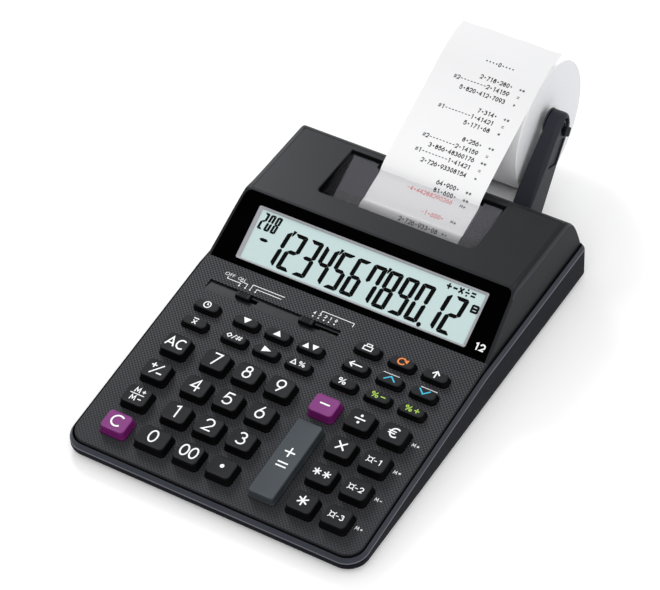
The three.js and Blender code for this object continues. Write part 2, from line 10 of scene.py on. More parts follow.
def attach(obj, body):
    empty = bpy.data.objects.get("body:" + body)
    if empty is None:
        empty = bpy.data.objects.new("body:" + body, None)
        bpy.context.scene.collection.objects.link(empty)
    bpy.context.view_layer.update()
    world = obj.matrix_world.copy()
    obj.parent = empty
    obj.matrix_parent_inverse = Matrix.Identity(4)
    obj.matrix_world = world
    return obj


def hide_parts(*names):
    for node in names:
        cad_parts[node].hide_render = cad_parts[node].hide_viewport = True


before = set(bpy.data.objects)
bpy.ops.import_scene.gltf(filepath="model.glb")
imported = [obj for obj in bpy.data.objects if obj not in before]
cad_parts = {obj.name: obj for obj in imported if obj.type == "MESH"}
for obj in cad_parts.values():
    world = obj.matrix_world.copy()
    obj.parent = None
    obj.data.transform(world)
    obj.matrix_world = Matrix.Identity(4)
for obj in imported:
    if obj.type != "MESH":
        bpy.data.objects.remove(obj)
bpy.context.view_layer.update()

# ------------------------------------------------------------------ measures
# Lengths in this file are in millimetres in the case's own frame: x = 0 in the
# middle, y = 0 at the front edge, z = 0 two millimetres above the table.
SHIFT_Y, LIFT = 157.1, 2.0
ANG = math.radians(6.19)
TAN = math.tan(ANG)
DZ0 = 8.08
HALF = 82.8
DEPTH = 228.5
DECK = 80.4
DY0, DZ1, DY1 = 129.2, 41.7, 163.2
DZS = DZ0 + TAN * DY0
SANG = math.atan2(DZ1 - DZS, DY1 - DY0)
REAR = 226.0
ROLL = (278.6, 39.2)
ROLL_R = 35.6
RX0, RX1 = -23.3, 34.2


def W(p):
    return Vector((p[0] * 1e-3, (p[1] - SHIFT_Y) * 1e-3, (p[2] + LIFT) * 1e-3))


def deck_z(y):
    return DZ0 + TAN * y


def ledge(y):
    return min(4.9 + TAN * y, 18.35)


def on_deck(x, y, u, v, h):
    """A point u, v, h away from the deck point (x, y), in the deck's tilt."""
    return (x + u, y + v * math.cos(ANG) - h * math.sin(ANG),
            deck_z(y) + v * math.sin(ANG) + h * math.cos(ANG))


def on_slope(u, s, h):
    return (u, DY0 + s * math.cos(SANG) - h * math.sin(SANG),
            DZS + s * math.sin(SANG) + h * math.cos(SANG))


# ----------------------------------------------------------------- materials
def link(nt, a, b):
    nt.links.new(a, b)


def base_mat(name):
    m = bpy.data.materials.new(name)
    m.use_nodes = True
    nt = m.node_tree
    b = nt.nodes["Principled BSDF"]
    tc = nt.nodes.new("ShaderNodeTexCoord")
    return m, nt, b, tc


def noise(nt, tc, scale, detail=3.0, rough=0.5):
    n = nt.nodes.new("ShaderNodeTexNoise")
    n.inputs["Scale"].default_value = scale
    n.inputs["Detail"].default_value = detail
    n.inputs["Roughness"].default_value = rough
    link(nt, tc.outputs["Object"], n.inputs["Vector"])
    return n


def ramp(nt, src, stops):
    r = nt.nodes.new("ShaderNodeValToRGB")
    r.color_ramp.elements[0].position = stops[0][0]
    r.color_ramp.elements[0].color = (*stops[0][1], 1)
    r.color_ramp.elements[1].position = stops[-1][0]
    r.color_ramp.elements[1].color = (*stops[-1][1], 1)
    for p, c in stops[1:-1]:
        e = r.color_ramp.elements.new(p)
        e.color = (*c, 1)
    link(nt, src, r.inputs["Fac"])
    return r


def maprange(nt, src, a, b, c, d):
    r = nt.nodes.new("ShaderNodeMapRange")
    r.inputs["From Min"].default_value = a
    r.inputs["From Max"].default_value = b
    r.inputs["To Min"].default_value = c
    r.inputs["To Max"].default_value = d
    link(nt, src, r.inputs["Value"])
    return r


def math_node(nt, op, a, b=None):
    n = nt.nodes.new("ShaderNodeMath")
    n.operation = op
    for i, v in enumerate((a, b)):
        if v is None:
            continue
        if isinstance(v, (int, float)):
            n.inputs[i].default_value = v
        else:
            link(nt, v, n.inputs[i])
    return n.outputs[0]


def bump(nt, b, height, strength, dist):
    n = nt.nodes.new("ShaderNodeBump")
    n.inputs["Strength"].default_value = strength
    n.inputs["Distance"].default_value = dist
    link(nt, height, n.inputs["Height"])
    link(nt, n.outputs["Normal"], b.inputs["Normal"])
    return n


def plastic(name, dark, light, rough=(0.45, 0.6), grain=2600.0, depth=0.00003, strength=0.35, spec=0.5):
    """Moulded plastic: slight mottling, a fine spark-eroded grain."""
    m, nt, b, tc = base_mat(name)
    big = noise(nt, tc, 45.0, 4.0)
    link(nt, ramp(nt, big.outputs["Fac"], [(0.3, dark), (0.7, light)]).outputs["Color"], b.inputs["Base Color"])
    fine = noise(nt, tc, grain, 3.0, 0.6)
    link(nt, maprange(nt, fine.outputs["Fac"], 0.3, 0.7, *rough).outputs["Result"], b.inputs["Roughness"])
    b.inputs["Specular IOR Level"].default_value = spec
    b.inputs["Specular Tint"].default_value = (0.88, 0.91, 1.0, 1)
    bump(nt, b, fine.outputs["Fac"], strength, depth)
    return m


def weave(name, dark, light):
    """Deck skin: a staggered lattice of small raised lozenges."""
    m, nt, b, tc = base_mat(name)
    sx = nt.nodes.new("ShaderNodeSeparateXYZ")
    link(nt, tc.outputs["Object"], sx.inputs[0])
    k = math.pi / 2.0e-3
    u = math_node(nt, "MULTIPLY", math_node(nt, "ADD", sx.outputs["X"], sx.outputs["Y"]), k)
    v = math_node(nt, "MULTIPLY", math_node(nt, "SUBTRACT", sx.outputs["X"], sx.outputs["Y"]), k)
    su = math_node(nt, "ABSOLUTE", math_node(nt, "SINE", u))
    sv = math_node(nt, "ABSOLUTE", math_node(nt, "SINE", v))
    cell = math_node(nt, "MULTIPLY", su, sv)
    # the lattice is shallower towards the front of the keyboard
    fade = maprange(nt, sx.outputs["Y"], -0.15, -0.03, 0.36, 1.0)
    # painted shade: the deck's colour is a little darker towards the front
    front_shade = maprange(nt, sx.outputs["Y"], -0.15, -0.06, 0.355, 0.42)
    mott = noise(nt, tc, 60.0, 3.0)
    deep = math_node(nt, "MULTIPLY", math_node(nt, "SUBTRACT", cell, 0.45), fade.outputs["Result"])
    mix = math_node(nt, "ADD", math_node(nt, "ADD", deep, front_shade.outputs["Result"]), math_node(nt, "MULTIPLY", mott.outputs["Fac"], 0.12))
    link(nt, ramp(nt, mix, [(0.12, dark), (0.5, tuple((a + c) / 2 for a, c in zip(dark, light))), (0.98, light)]).outputs["Color"], b.inputs["Base Color"])
    link(nt, maprange(nt, cell, 0.0, 1.0, 0.7, 0.5).outputs["Result"], b.inputs["Roughness"])
    b.inputs["Specular IOR Level"].default_value = 0.32
    b.inputs["Specular Tint"].default_value = (0.9, 0.93, 1.0, 1)
    bump(nt, b, math_node(nt, "MULTIPLY", cell, fade.outputs["Result"]), 0.7, 0.00022)
    return m


def flat(name, col, rough=0.6, vary=0.08, metal=0.0, grain=900.0):
    m, nt, b, tc = base_mat(name)
    n = noise(nt, tc, grain, 2.0)
    d = tuple(max(0.0, c * (1 - vary)) for c in col)
    l = tuple(min(1.0, c * (1 + vary)) for c in col)
    link(nt, ramp(nt, n.outputs["Fac"], [(0.35, d), (0.65, l)]).outputs["Color"], b.inputs["Base Color"])
    b.inputs["Roughness"].default_value = rough
    b.inputs["Metallic"].default_value = metal
    return m


def lin(r, g, bb):
    f = lambda c: (c / 255 / 12.92) if c <= 10 else ((c / 255 + 0.055) / 1.055) ** 2.4
    return (f(r), f(g), f(bb))


MAT = {
    "deck": weave("deck_weave", (0.0012, 0.0012, 0.0015), (0.055, 0.056, 0.063)),
    "deck_smooth": plastic("housing_plastic", (0.0066, 0.0068, 0.0080), (0.0084, 0.0086, 0.0100), (0.40, 0.50), spec=0.22),
    # dark copy of the housing plastic for the pocket's rear walls: painted shade, lighter than the near-black pit
    "recess": plastic("recess_dark_plastic", (0.0048, 0.0049, 0.0058), (0.0060, 0.0061, 0.0070), (0.42, 0.52), spec=0.14),
    # darker copy of the housing plastic for its side faces: painted shade; the next two are lighter copies for the
    # rounded top edge: painted highlight
    "deck_side_shade": plastic("housing_side_painted_shade_plastic", (0.0060, 0.0062, 0.0073), (0.0076, 0.0078, 0.0091), (0.42, 0.52), spec=0.14),
    "edge_highlight_mid": plastic("housing_edge_painted_highlight_mid_plastic", (0.0150, 0.0155, 0.0175), (0.0170, 0.0175, 0.0195), (0.40, 0.50), spec=0.22),
    "edge_highlight": plastic("housing_edge_painted_highlight_plastic", (0.0300, 0.0310, 0.0345), (0.0340, 0.0350, 0.0385), (0.40, 0.50), spec=0.22),
    "case": plastic("case_plastic", (0.0045, 0.0048, 0.0085), (0.0058, 0.0061, 0.0100), (0.42, 0.54), spec=0.03),
    # lighter copy of the case plastic for the rim's upward faces: painted light; the next one, lighter still, for the
    # rim's outer edge: painted highlight
    "rim_lit": plastic("case_rim_painted_light_plastic", (0.027, 0.029, 0.039), (0.032, 0.034, 0.044), (0.40, 0.52), spec=0.20),
    "rim_edge_highlight": plastic("case_rim_edge_painted_highlight_plastic", (0.100, 0.104, 0.120), (0.112, 0.116, 0.132), (0.40, 0.52), spec=0.25),
    "arm": plastic("arm_plastic", (0.0180, 0.0196, 0.0272), (0.0200, 0.0216, 0.0292), (0.40, 0.52), spec=0.20),
    # darker copy of the arm plastic for its side faces: painted shade
    "arm_side_shade": plastic("arm_side_painted_shade_plastic", (0.0120, 0.0140, 0.0190), (0.0140, 0.0160, 0.0210), (0.42, 0.52), spec=0.165),
    "key_top": plastic("key_top_plastic", (0.0080, 0.0083, 0.0092), (0.0100, 0.0103, 0.0112), (0.48, 0.62), 3200.0, spec=0.19),
    # darker copies of the key plastics for the keys' sides (this and the other skirt materials): painted shade
    "key_skirt_shade": plastic("key_skirt_painted_shade_plastic", (0.0022, 0.0022, 0.0026), (0.003, 0.003, 0.0034), (0.45, 0.6), 3200.0, spec=0.04),
    "purple": plastic("key_purple_plastic", (0.188, 0.024, 0.166), (0.206, 0.029, 0.184), (0.45, 0.56), 3200.0, spec=0.29),
    "purple_skirt_shade": plastic("key_purple_skirt_painted_shade", (0.120, 0.008, 0.098), (0.133, 0.010, 0.112), (0.4, 0.52), 3200.0, spec=0.12),
    "slate": plastic("key_slate_plastic", (0.040, 0.051, 0.058), (0.047, 0.058, 0.065), (0.45, 0.58), 3200.0, spec=0.3),
    "slate_skirt_shade": plastic("key_slate_skirt_painted_shade", (0.029, 0.035, 0.039), (0.035, 0.041, 0.045), (0.42, 0.55), 3200.0, spec=0.2),
    "white": flat("legend_white", (0.92, 0.92, 0.93), 0.5, 0.03),
    "orange": flat("legend_orange", lin(236, 128, 40), 0.5, 0.03),
    "cyan": flat("legend_cyan", lin(36, 180, 212), 0.5, 0.03),
    "green": flat("legend_green", lin(166, 206, 70), 0.5, 0.03),
    "ink": flat("ink_black", lin(16, 16, 20), 0.7, 0.15),
    "ink_grey": flat("ink_grey", lin(70, 70, 78), 0.7, 0.15),
    "ink_red": flat("ink_red", lin(226, 84, 76), 0.7, 0.12),
    "segment": flat("lcd_segment", (0.001, 0.001, 0.001), 0.5, 0.2),
    "rubber": flat("rubber_black", (0.02, 0.02, 0.02), 0.85, 0.2, 0.0, 500.0),
    "bezel": flat("bezel_silver", (0.33, 0.335, 0.355), 0.42, 0.05),
    # near black for grooves, pocket walls and the walls of cut openings: painted shade
    "pit_shade": flat("recess_black", (0.0012, 0.0012, 0.0014), 0.8, 0.15),
    "mech": flat("printer_frame_dark", (0.012, 0.012, 0.014), 0.6, 0.15, 0.0, 300.0),
    "steel": flat("printer_steel", (0.45, 0.46, 0.48), 0.35, 0.1, 1.0, 300.0),
    "board": flat("circuit_green", (0.02, 0.12, 0.05), 0.45, 0.25, 0.0, 120.0),
    "mat": flat("silicone_grey", (0.5, 0.5, 0.52), 0.7, 0.06),
    "card": flat("core_card", (0.66, 0.655, 0.64), 0.85, 0.05, 0.0, 400.0),
}
for _n in ("segment", "pit_shade", "rubber"):
    MAT[_n].node_tree.nodes["Principled BSDF"].inputs["Specular IOR Level"].default_value = 0.05


def window_mat():
    m, nt, b, tc = base_mat("window_gloss_black")
    n = noise(nt, tc, 30.0, 2.0)
    link(nt, ramp(nt, n.outputs["Fac"], [(0.3, (0.0003,) * 3), (0.7, (0.0006,) * 3)]).outputs["Color"], b.inputs["Base Color"])
    b.inputs["Roughness"].default_value = 0.2
    b.inputs["Specular IOR Level"].default_value = 0.004
    return m


def lcd_mat():
    m, nt, b, tc = base_mat("lcd_reflective")
    n = noise(nt, tc, 6000.0, 2.0)
    link(nt, ramp(nt, n.outputs["Fac"], [(0.35, lin(190, 210, 210)), (0.65, lin(198, 218, 218))]).outputs["Color"], b.inputs["Base Color"])
    b.inputs["Roughness"].default_value = 0.5
    b.inputs["Specular IOR Level"].default_value = 0.25
    return m


def smoke_mat(name, tone, alpha):
    m, nt, b, tc = base_mat(name)
    n = noise(nt, tc, 700.0, 2.0)
    link(nt, ramp(nt, n.outputs["Fac"], [(0.3, tone[0]), (0.7, tone[1])]).outputs["Color"], b.inputs["Base Color"])
    b.inputs["Roughness"].default_value = 0.3
    b.inputs["Specular IOR Level"].default_value = 0.1
    b.inputs["Alpha"].default_value = alpha
    return m


def paper_mat(name, a, c, fade=None):
    m, nt, b, tc = base_mat(name)
    n = noise(nt, tc, 900.0, 4.0, 0.6)
    fac = n.outputs["Fac"]
    if fade:
        # painted shade: the strip greys a little towards its free end
        sx = nt.nodes.new("ShaderNodeSeparateXYZ")
        link(nt, tc.outputs["Object"], sx.inputs[0])
        g = maprange(nt, sx.outputs["Y"], fade[0], fade[1], 0.0, 1.0).outputs["Result"]
        fac = math_node(nt, "SUBTRACT", math_node(nt, "ADD", math_node(nt, "MULTIPLY", fac, 0.08), 0.92), g)
    link(nt, ramp(nt, fac, [(0.0 if fade else 0.3, a), (1.0 if fade else 0.7, c)]).outputs["Color"], b.inputs["Base Color"])
    b.inputs["Roughness"].default_value = 0.85
    b.inputs["Specular IOR Level"].default_value = 0.2
    bump(nt, b, n.outputs["Fac"], 0.15, 0.00002)
    return m


def roll_face_mat():
    """Wound edge of the roll: faint rings round its axis."""
    m, nt, b, tc = base_mat("roll_wound_edge")
    sx = nt.nodes.new("ShaderNodeSeparateXYZ")
    link(nt, tc.outputs["Object"], sx.inputs[0])
    c = W((0, *ROLL))
    dy = math_node(nt, "SUBTRACT", sx.outputs["Y"], c.y)
    dz = math_node(nt, "SUBTRACT", sx.outputs["Z"], c.z)
    r = math_node(nt, "SQRT", math_node(nt, "ADD", math_node(nt, "MULTIPLY", dy, dy), math_node(nt, "MULTIPLY", dz, dz)))
    cx = nt.nodes.new("ShaderNodeCombineXYZ")
    link(nt, math_node(nt, "MULTIPLY", r, 1400.0), cx.inputs[0])
    n = nt.nodes.new("ShaderNodeTexNoise")
    n.inputs["Scale"].default_value = 1.0
    n.inputs["Detail"].default_value = 4.0
    link(nt, cx.outputs[0], n.inputs["Vector"])
    link(nt, ramp(nt, n.outputs["Fac"], [(0.25, (0.685, 0.690, 0.712)), (0.75, (0.740, 0.745, 0.768))]).outputs["Color"], b.inputs["Base Color"])
    b.inputs["Roughness"].default_value = 0.85
    b.inputs["Specular IOR Level"].default_value = 0.2
    bump(nt, b, n.outputs["Fac"], 0.1, 0.00003)
    return m


MAT["window"] = window_mat()
MAT["lcd"] = lcd_mat()
MAT["smoke"] = smoke_mat("cutter_smoke", ((0.28, 0.28, 0.32), (0.31, 0.31, 0.35)), 0.13)
MAT["smoke_front_shade"] = smoke_mat("cutter_smoke_front_painted_shade", ((0.12, 0.12, 0.13), (0.14, 0.14, 0.15)), 0.31)
MAT["smoke_clear"] = smoke_mat("cutter_smoke_clear", ((0.10, 0.10, 0.11), (0.12, 0.12, 0.13)), 0.05)
MAT["paper"] = paper_mat("paper_white", (0.820, 0.820, 0.828), (0.842, 0.842, 0.850))
MAT["paper_strip"] = paper_mat("paper_strip_white_painted_shade", (0.725, 0.725, 0.735), (0.872, 0.872, 0.880), (0.055, 0.134))
MAT["paper_back_glow"] = paper_mat("paper_strip_back_painted_glow", (0.80, 0.80, 0.81), (0.83, 0.83, 0.84))
# painted light: the strip's underside glows a little, standing in for light coming through the thin paper
_b = MAT["paper_back_glow"].node_tree.nodes["Principled BSDF"]
_b.inputs["Emission Color"].default_value = (0.95, 0.95, 0.97, 1)
_b.inputs["Emission Strength"].default_value = 0.2
MAT["roll_face"] = roll_face_mat()


# -------------------------------------------------------------------- meshes
def make(name, verts, faces, mats, face_mat=None, sharp=32.0, weighted=True, recalc=True):
    me = bpy.data.meshes.new(name)
    me.from_pydata([W(v) for v in verts], [], faces)
    ob = bpy.data.objects.new(name, me)
    bpy.context.scene.collection.objects.link(ob)
    for m in mats:
        me.materials.append(MAT[m])
    if face_mat is not None:
        for p, i in zip(me.polygons, face_mat):
            p.material_index = i
    if recalc:
        bm = bmesh.new()
        bm.from_mesh(me)
        bmesh.ops.recalc_face_normals(bm, faces=bm.faces)
        bm.to_mesh(me)
        bm.free()
    shade(ob, sharp, weighted)
    return ob


def shade(ob, sharp=32.0, weighted=True):
    me = ob.data
    bm = bmesh.new()
    bm.from_mesh(me)
    t = math.radians(sharp)
    for f in bm.faces:
        f.smooth = True
    for e in bm.edges:
        e.smooth = not (len(e.link_faces) != 2 or e.calc_face_angle(0.0) > t)
    bm.to_mesh(me)
    bm.free()
    if weighted and "wn" not in ob.modifiers:
        w = ob.modifiers.new("wn", "WEIGHTED_NORMAL")
        w.keep_sharp = True
        w.weight = 50


def apply_mods(ob):
    dg = bpy.context.evaluated_depsgraph_get()
    me = bpy.data.meshes.new_from_object(ob.evaluated_get(dg), depsgraph=dg)
    old = ob.data
    ob.modifiers.clear()
    ob.data = me
    bpy.data.meshes.remove(old)


def cut(ob, cutters, op="DIFFERENCE", sharp=32.0):
    """Boolean of ob with each cutter in turn; the cutters are used up."""
    for m in list(ob.modifiers):
        ob.modifiers.remove(m)
    for c in cutters:
        c.modifiers.clear()
        m = ob.modifiers.new("cut", "BOOLEAN")
        m.operation = op
        m.solver = "EXACT"
        m.material_mode = "TRANSFER"
        m.object = c
        bpy.context.view_layer.update()
        apply_mods(ob)
        bpy.data.objects.remove(c)
    shade(ob, sharp)
    return ob


def loft(loops, close_start=True, close_end=True):
    n = len(loops[0])
    v = [p for l in loops for p in l]
    f = []
    for k in range(len(loops) - 1):
        for i in range(n):
            a, b = k * n + i, k * n + (i + 1) % n
            f.append((a, b, b + n, a + n))
    if close_start:
        f.append(tuple(reversed(range(n))))
    if close_end:
        base = (len(loops) - 1) * n
        f.append(tuple(range(base, base + n)))
    return v, f


def rrect(x0, x1, y0, y1, r, n=6, rb=None, side=()):
    rb = r if rb is None else rb
    out = []

    def arc(cx, cy, a0, rad):
        for i in range(n + 1):
            a = math.radians(a0 + 90 * i / n)
            out.append((cx + rad * math.cos(a), cy + rad * math.sin(a)))

    arc(x1 - r, y0 + r, -90, r)
    out.extend((x1, y) for y in side)
    arc(x1 - rb, y1 - rb, 0, rb)
    arc(x0 + rb, y1 - rb, 90, rb)
    out.extend((x0, y) for y in reversed(side))
    arc(x0 + r, y0 + r, 180, r)
    return out


# a cutter's material (near-black pit by default) goes onto the walls it cuts: painted shade
def prism(name, outline, to3, a, b, mats=("pit_shade",)):
    v, f = loft([[to3(p, a) for p in outline], [to3(p, b) for p in outline]])
    return make(name, v, f, list(mats), weighted=False)


def box(name, x0, x1, y0, y1, z0, z1, mats=("pit_shade",)):
    return prism(name, [(x0, y0), (x1, y0), (x1, y1), (x0, y1)], lambda p, z: (p[0], p[1], z), z0, z1, mats)


def join(name, obs):
    """Merge several meshes into one object."""
    base = obs[0]
    mats = []
    verts, faces, fm = [], [], []
    for o in obs:
        off = len(verts)
        idx = []
        for m in o.data.materials:
            if m not in mats:
                mats.append(m)
            idx.append(mats.index(m))
        verts += [v.co.copy() for v in o.data.vertices]
        for p in o.data.polygons:
            faces.append([off + i for i in p.vertices])
            fm.append(idx[p.material_index] if idx else 0)
    me = bpy.data.meshes.new(name)
    me.from_pydata(verts, [], faces)
    for m in mats:
        me.materials.append(m)
    for p, i in zip(me.polygons, fm):
        p.material_index = i
    for o in obs[1:]:
        bpy.data.objects.remove(o)
    base.modifiers.clear()
    base.data = me
    base.name = name
    shade(base)
    return base


# ------------------------------------------------------------------- legends
_dg = []


def text2d(body, size, offset=0.0, align="CENTER", res=4):
    """Outline faces of a short text, centred on the origin, in millimetres."""
    cu = bpy.data.curves.new("t", "FONT")
    cu.body = body
    cu.size = size
    cu.offset = offset
    cu.align_x = align
    cu.resolution_u = res
    ob = bpy.data.objects.new("t", cu)
    bpy.context.scene.collection.objects.link(ob)
    bpy.context.view_layer.update()
    dg = bpy.context.evaluated_depsgraph_get()
    me = bpy.data.meshes.new_from_object(ob.evaluated_get(dg), depsgraph=dg)
    v = [(p.co.x, p.co.y) for p in me.vertices]
    f = [tuple(p.vertices) for p in me.polygons]
    bpy.data.objects.remove(ob)
    bpy.data.curves.remove(cu)
    bpy.data.meshes.remove(me)
    return v, f


def fit(vf, w=None, h=None, cx=0.0, cy=0.0):
    """Scale to a height (and width) and centre on (cx, cy)."""
    v, f = vf
    a = np.array(v)
    lo, hi = a.min(0), a.max(0)
    sy = h / (hi[1] - lo[1]) if h else None
    sx = w / (hi[0] - lo[0]) if w else (sy or 1.0)
    sy = sy or sx
    c = (lo + hi) / 2
    return [((p[0] - c[0]) * sx + cx, (p[1] - c[1]) * sy + cy) for p in v], f


def stroke(points, width, closed=False):
    """A flat mitred line."""
    n = len(points)
    P = [Vector(p) for p in points]
    L, R = [], []
    for i in range(n):
        if closed:
            a, b = P[i - 1], P[(i + 1) % n]
            d1, d2 = (P[i] - a).normalized(), (b - P[i]).normalized()
        else:
            d1 = (P[i] - P[i - 1]).normalized() if i else (P[1] - P[0]).normalized()
            d2 = (P[i + 1] - P[i]).normalized() if i < n - 1 else d1
        t = (d1 + d2).normalized()
        nrm = Vector((-t.y, t.x))
        k = width / 2 / max(0.4, nrm.dot(Vector((-d1.y, d1.x))))
        L.append(P[i] + nrm * k)
        R.append(P[i] - nrm * k)
    v = [tuple(p) for p in L] + [tuple(p) for p in R]
    f = [(i, i + n, i + n + 1, i + 1) for i in range(n - 1)]
    if closed:
        f.append((n - 1, 2 * n - 1, n, 0))
    return v, f


def disc(cx, cy, r, n=16):
    return [(cx + r * math.cos(2 * math.pi * i / n), cy + r * math.sin(2 * math.pi * i / n)) for i in range(n)], [tuple(range(n))]


def poly(pts):
    return list(pts), [tuple(range(len(pts)))]


def both(*parts):
    v, f = [], []
    for pv, pf in parts:
        o = len(v)
        v += pv
        f += [tuple(o + i for i in q) for q in pf]
    return v, f


def star(cx, cy, r, t):
    return both(*[stroke([(cx - r * math.cos(a), cy - r * math.sin(a)), (cx + r * math.cos(a), cy + r * math.sin(a))], t) for a in (math.pi / 2, math.pi / 6, -math.pi / 6)])


def ring(cx, cy, r, t, n=28, sy=1.0):
    return stroke([(cx + r * math.cos(2 * math.pi * i / n), cy + r * sy * math.sin(2 * math.pi * i / n)) for i in range(n)], t, True)


def arc2(cx, cy, rx, ry, a0, a1, t, n=16):
    return stroke([(cx + rx * math.cos(math.radians(a0 + (a1 - a0) * i / n)), cy + ry * math.sin(math.radians(a0 + (a1 - a0) * i / n))) for i in range(n + 1)], t)


def numeral(ch, cx, cy, h, t):
    """Plain thin numeral drawn with even strokes, 0.7 as wide as it is tall."""
    w = h * 0.68
    L, R_, T, Bo = cx - w / 2 + t / 2, cx + w / 2 - t / 2, cy + h / 2 - t / 2, cy - h / 2 + t / 2
    if ch == "0":
        return ring(cx, cy, w / 2 - t / 2, t, 36, (h - t) / (w - t))
    if ch == "1":
        return stroke([(cx - w * 0.28, T - h * 0.10), (cx + w * 0.10, T), (cx + w * 0.10, Bo - t / 2)], t)
    if ch == "2":
        rx = w * 0.44
        pts = [(cx + rx * math.cos(math.radians(a)), T - rx + rx * math.sin(math.radians(a))) for a in range(165, -36, -15)]
        return stroke(pts + [(L, Bo), (R_ + 0.05 * w, Bo)], t)
    if ch == "3":
        ra, rb = h * 0.215, h * 0.25
        up = [(cx - 0.1 * w + ra * 1.15 * math.cos(math.radians(a)), T - ra + ra * math.sin(math.radians(a))) for a in range(160, -91, -15)]
        lo = [(cx - 0.1 * w + rb * 1.2 * math.cos(math.radians(a)), Bo + rb + rb * math.sin(math.radians(a))) for a in range(90, -161, -15)]
        return both(stroke(up, t), stroke(lo, t))
    if ch == "4":
        return both(stroke([(cx + w * 0.18, Bo - t / 2), (cx + w * 0.18, T), (L - 0.05 * w, cy - h * 0.16), (R_ + 0.08 * w, cy - h * 0.16)], t))
    if ch == "5":
        rb = h * 0.285
        lo = [(cx - 0.04 * w + rb * 1.05 * math.cos(math.radians(a)), Bo + rb + rb * math.sin(math.radians(a))) for a in range(120, -151, -15)]
        return both(stroke([(R_, T), (cx - w * 0.26, T), (cx - w * 0.40, cy + h * 0.02)] + lo[0:1], t), stroke(lo, t))
    if ch in "69":
        k = 1 if ch == "6" else -1
        rb = h * 0.285
        body = ring(cx, cy - k * (h / 2 - t / 2 - rb), rb, t, 28, 1.0)
        a = math.radians(150)
        x0, y0 = cx + k * rb * math.cos(a), cy - k * (h / 2 - t / 2 - rb) + k * rb * math.sin(a)
        return both(body, stroke([(x0, y0), (cx + k * w * 0.14, cy + k * h / 2)], t))
    if ch == "7":
        return stroke([(L, T), (R_, T), (cx - w * 0.18, Bo - t / 2)], t)
    if ch == "8":
        return both(ring(cx, T - h * 0.2, h * 0.2, t, 28, 1.0), ring(cx, Bo + h * 0.262, h * 0.262, t, 28, 1.0))
    return disc(cx, cy, 0.5)


def decal(name, vf, to3, mat):
    v, f = vf
    me = bpy.data.meshes.new(name)
    me.from_pydata([W(to3(*p)) for p in v], [], f)
    me.materials.append(MAT[mat])
    ob = bpy.data.objects.new(name, me)
    bpy.context.scene.collection.objects.link(ob)
    return ob


# --------------------------------------------------------------- bottom case
SIDE = (30, 60, 90, 112, 123.9, 130, 150, 180, 205)


def case_loop(inset, zf):
    l = rrect(-HALF + inset, HALF - inset, inset, DEPTH - inset, max(11 - inset, 1), 14, max(3.5 - inset, 0.4), SIDE)
    return [(p[0], p[1], zf(p[1])) for p in l]


def bottom_case():
    L = ledge
    loops = [
        case_loop(3.2, lambda y: -0.5), case_loop(2.1, lambda y: -0.2), case_loop(1.0, lambda y: 0.4),
        case_loop(0.3, lambda y: 1.1), case_loop(0.0, lambda y: 2.0),
        case_loop(0.0, lambda y: L(y) - 0.4), case_loop(0.16, lambda y: L(y) + 0.2),
        case_loop(1.15, lambda y: L(y) + 1.9), case_loop(1.35, lambda y: L(y) + 2.15),
        case_loop(1.6, lambda y: L(y) + 2.15), case_loop(1.8, lambda y: L(y) + 1.9),
        case_loop(2.0, lambda y: 0.9),
    ]
    v, f = loft(loops)
    n = len(loops[0])
    # the rim's sloping top gets a lighter copy of the case plastic, painted light; its outer edge a lighter one still,
    # painted highlight; the groove near black, painted shade
    fm = []
    for k in range(len(loops) - 1):
        fm += [{5: 3, 6: 1, 7: 1, 8: 1, 9: 2, 10: 2}.get(k, 0)] * n
    ob = make("bottom_case_shell", v, f, ["case", "rim_lit", "pit_shade", "rim_edge_highlight"], fm + [0, 0])
    bay = [box("c", -22.3, 34.3, 167.7, DEPTH + 2, -3, 1.1)]
    bay.append(box("c", 36.9, 45.5, 220, DEPTH + 1, 4.7, 15.3))
    bay.append(box("c", -34.2, -25.6, 220, DEPTH + 1, 4.7, 15.3))
    for x in (-70, 70):
        for y in (40, 188):
            bay.append(prism("c", [(x + 3.4 * math.cos(a * math.pi / 12), y + 3.4 * math.sin(a * math.pi / 12)) for a in range(24)],
                             lambda p, z: (p[0], p[1], z), -3, 0.4))
    cut(ob, bay)
    tub = box("battery_bay_tub", -23.8, 35.8, 166, 227, -0.2, 18.5, ("case",))
    cut(tub, [box("c", -20.5, 32.5, 171, 224, -3, 17.5), box("c", -22.3, 34.3, 167.7, 232, -3, 1.15)])
    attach(ob, "body")
    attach(tub, "body")
    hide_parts("bottom_case")
    feet = []
    for x in (-66, 66):
        for y in (22, 206):
            rings = [(6.0, -0.6), (6.0, -1.6), (5.7, -1.9), (5.2, -2.0)]
            v, f = loft([[(x + r * math.cos(2 * math.pi * i / 32), y + r * math.sin(2 * math.pi * i / 32), z) for i in range(32)] for r, z in rings])
            feet.append(make("foot", v, f, ["rubber"]))
    ft = join("rubber_feet", feet)
    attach(ft, "body")
    scr = []
    for x in (-70, 70):
        for y in (40, 188):
            rings = [(2.7, 0.35), (2.7, 0.1), (2.3, -0.15), (1.2, -0.3)]
            v, f = loft([[(x + r * math.cos(2 * math.pi * i / 24), y + r * math.sin(2 * math.pi * i / 24), z) for i in range(24)] for r, z in rings])
            s = make("s", v, f, ["steel"])
            cut(s, [box("c", x - 1.3, x + 1.3, y - 0.22, y + 0.22, -1, -0.05), box("c", x - 0.22, x + 0.22, y - 1.3, y + 1.3, -1, -0.05)])
            scr.append(s)
    so = join("case_screws", scr)
    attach(so, "body")


bottom_case()

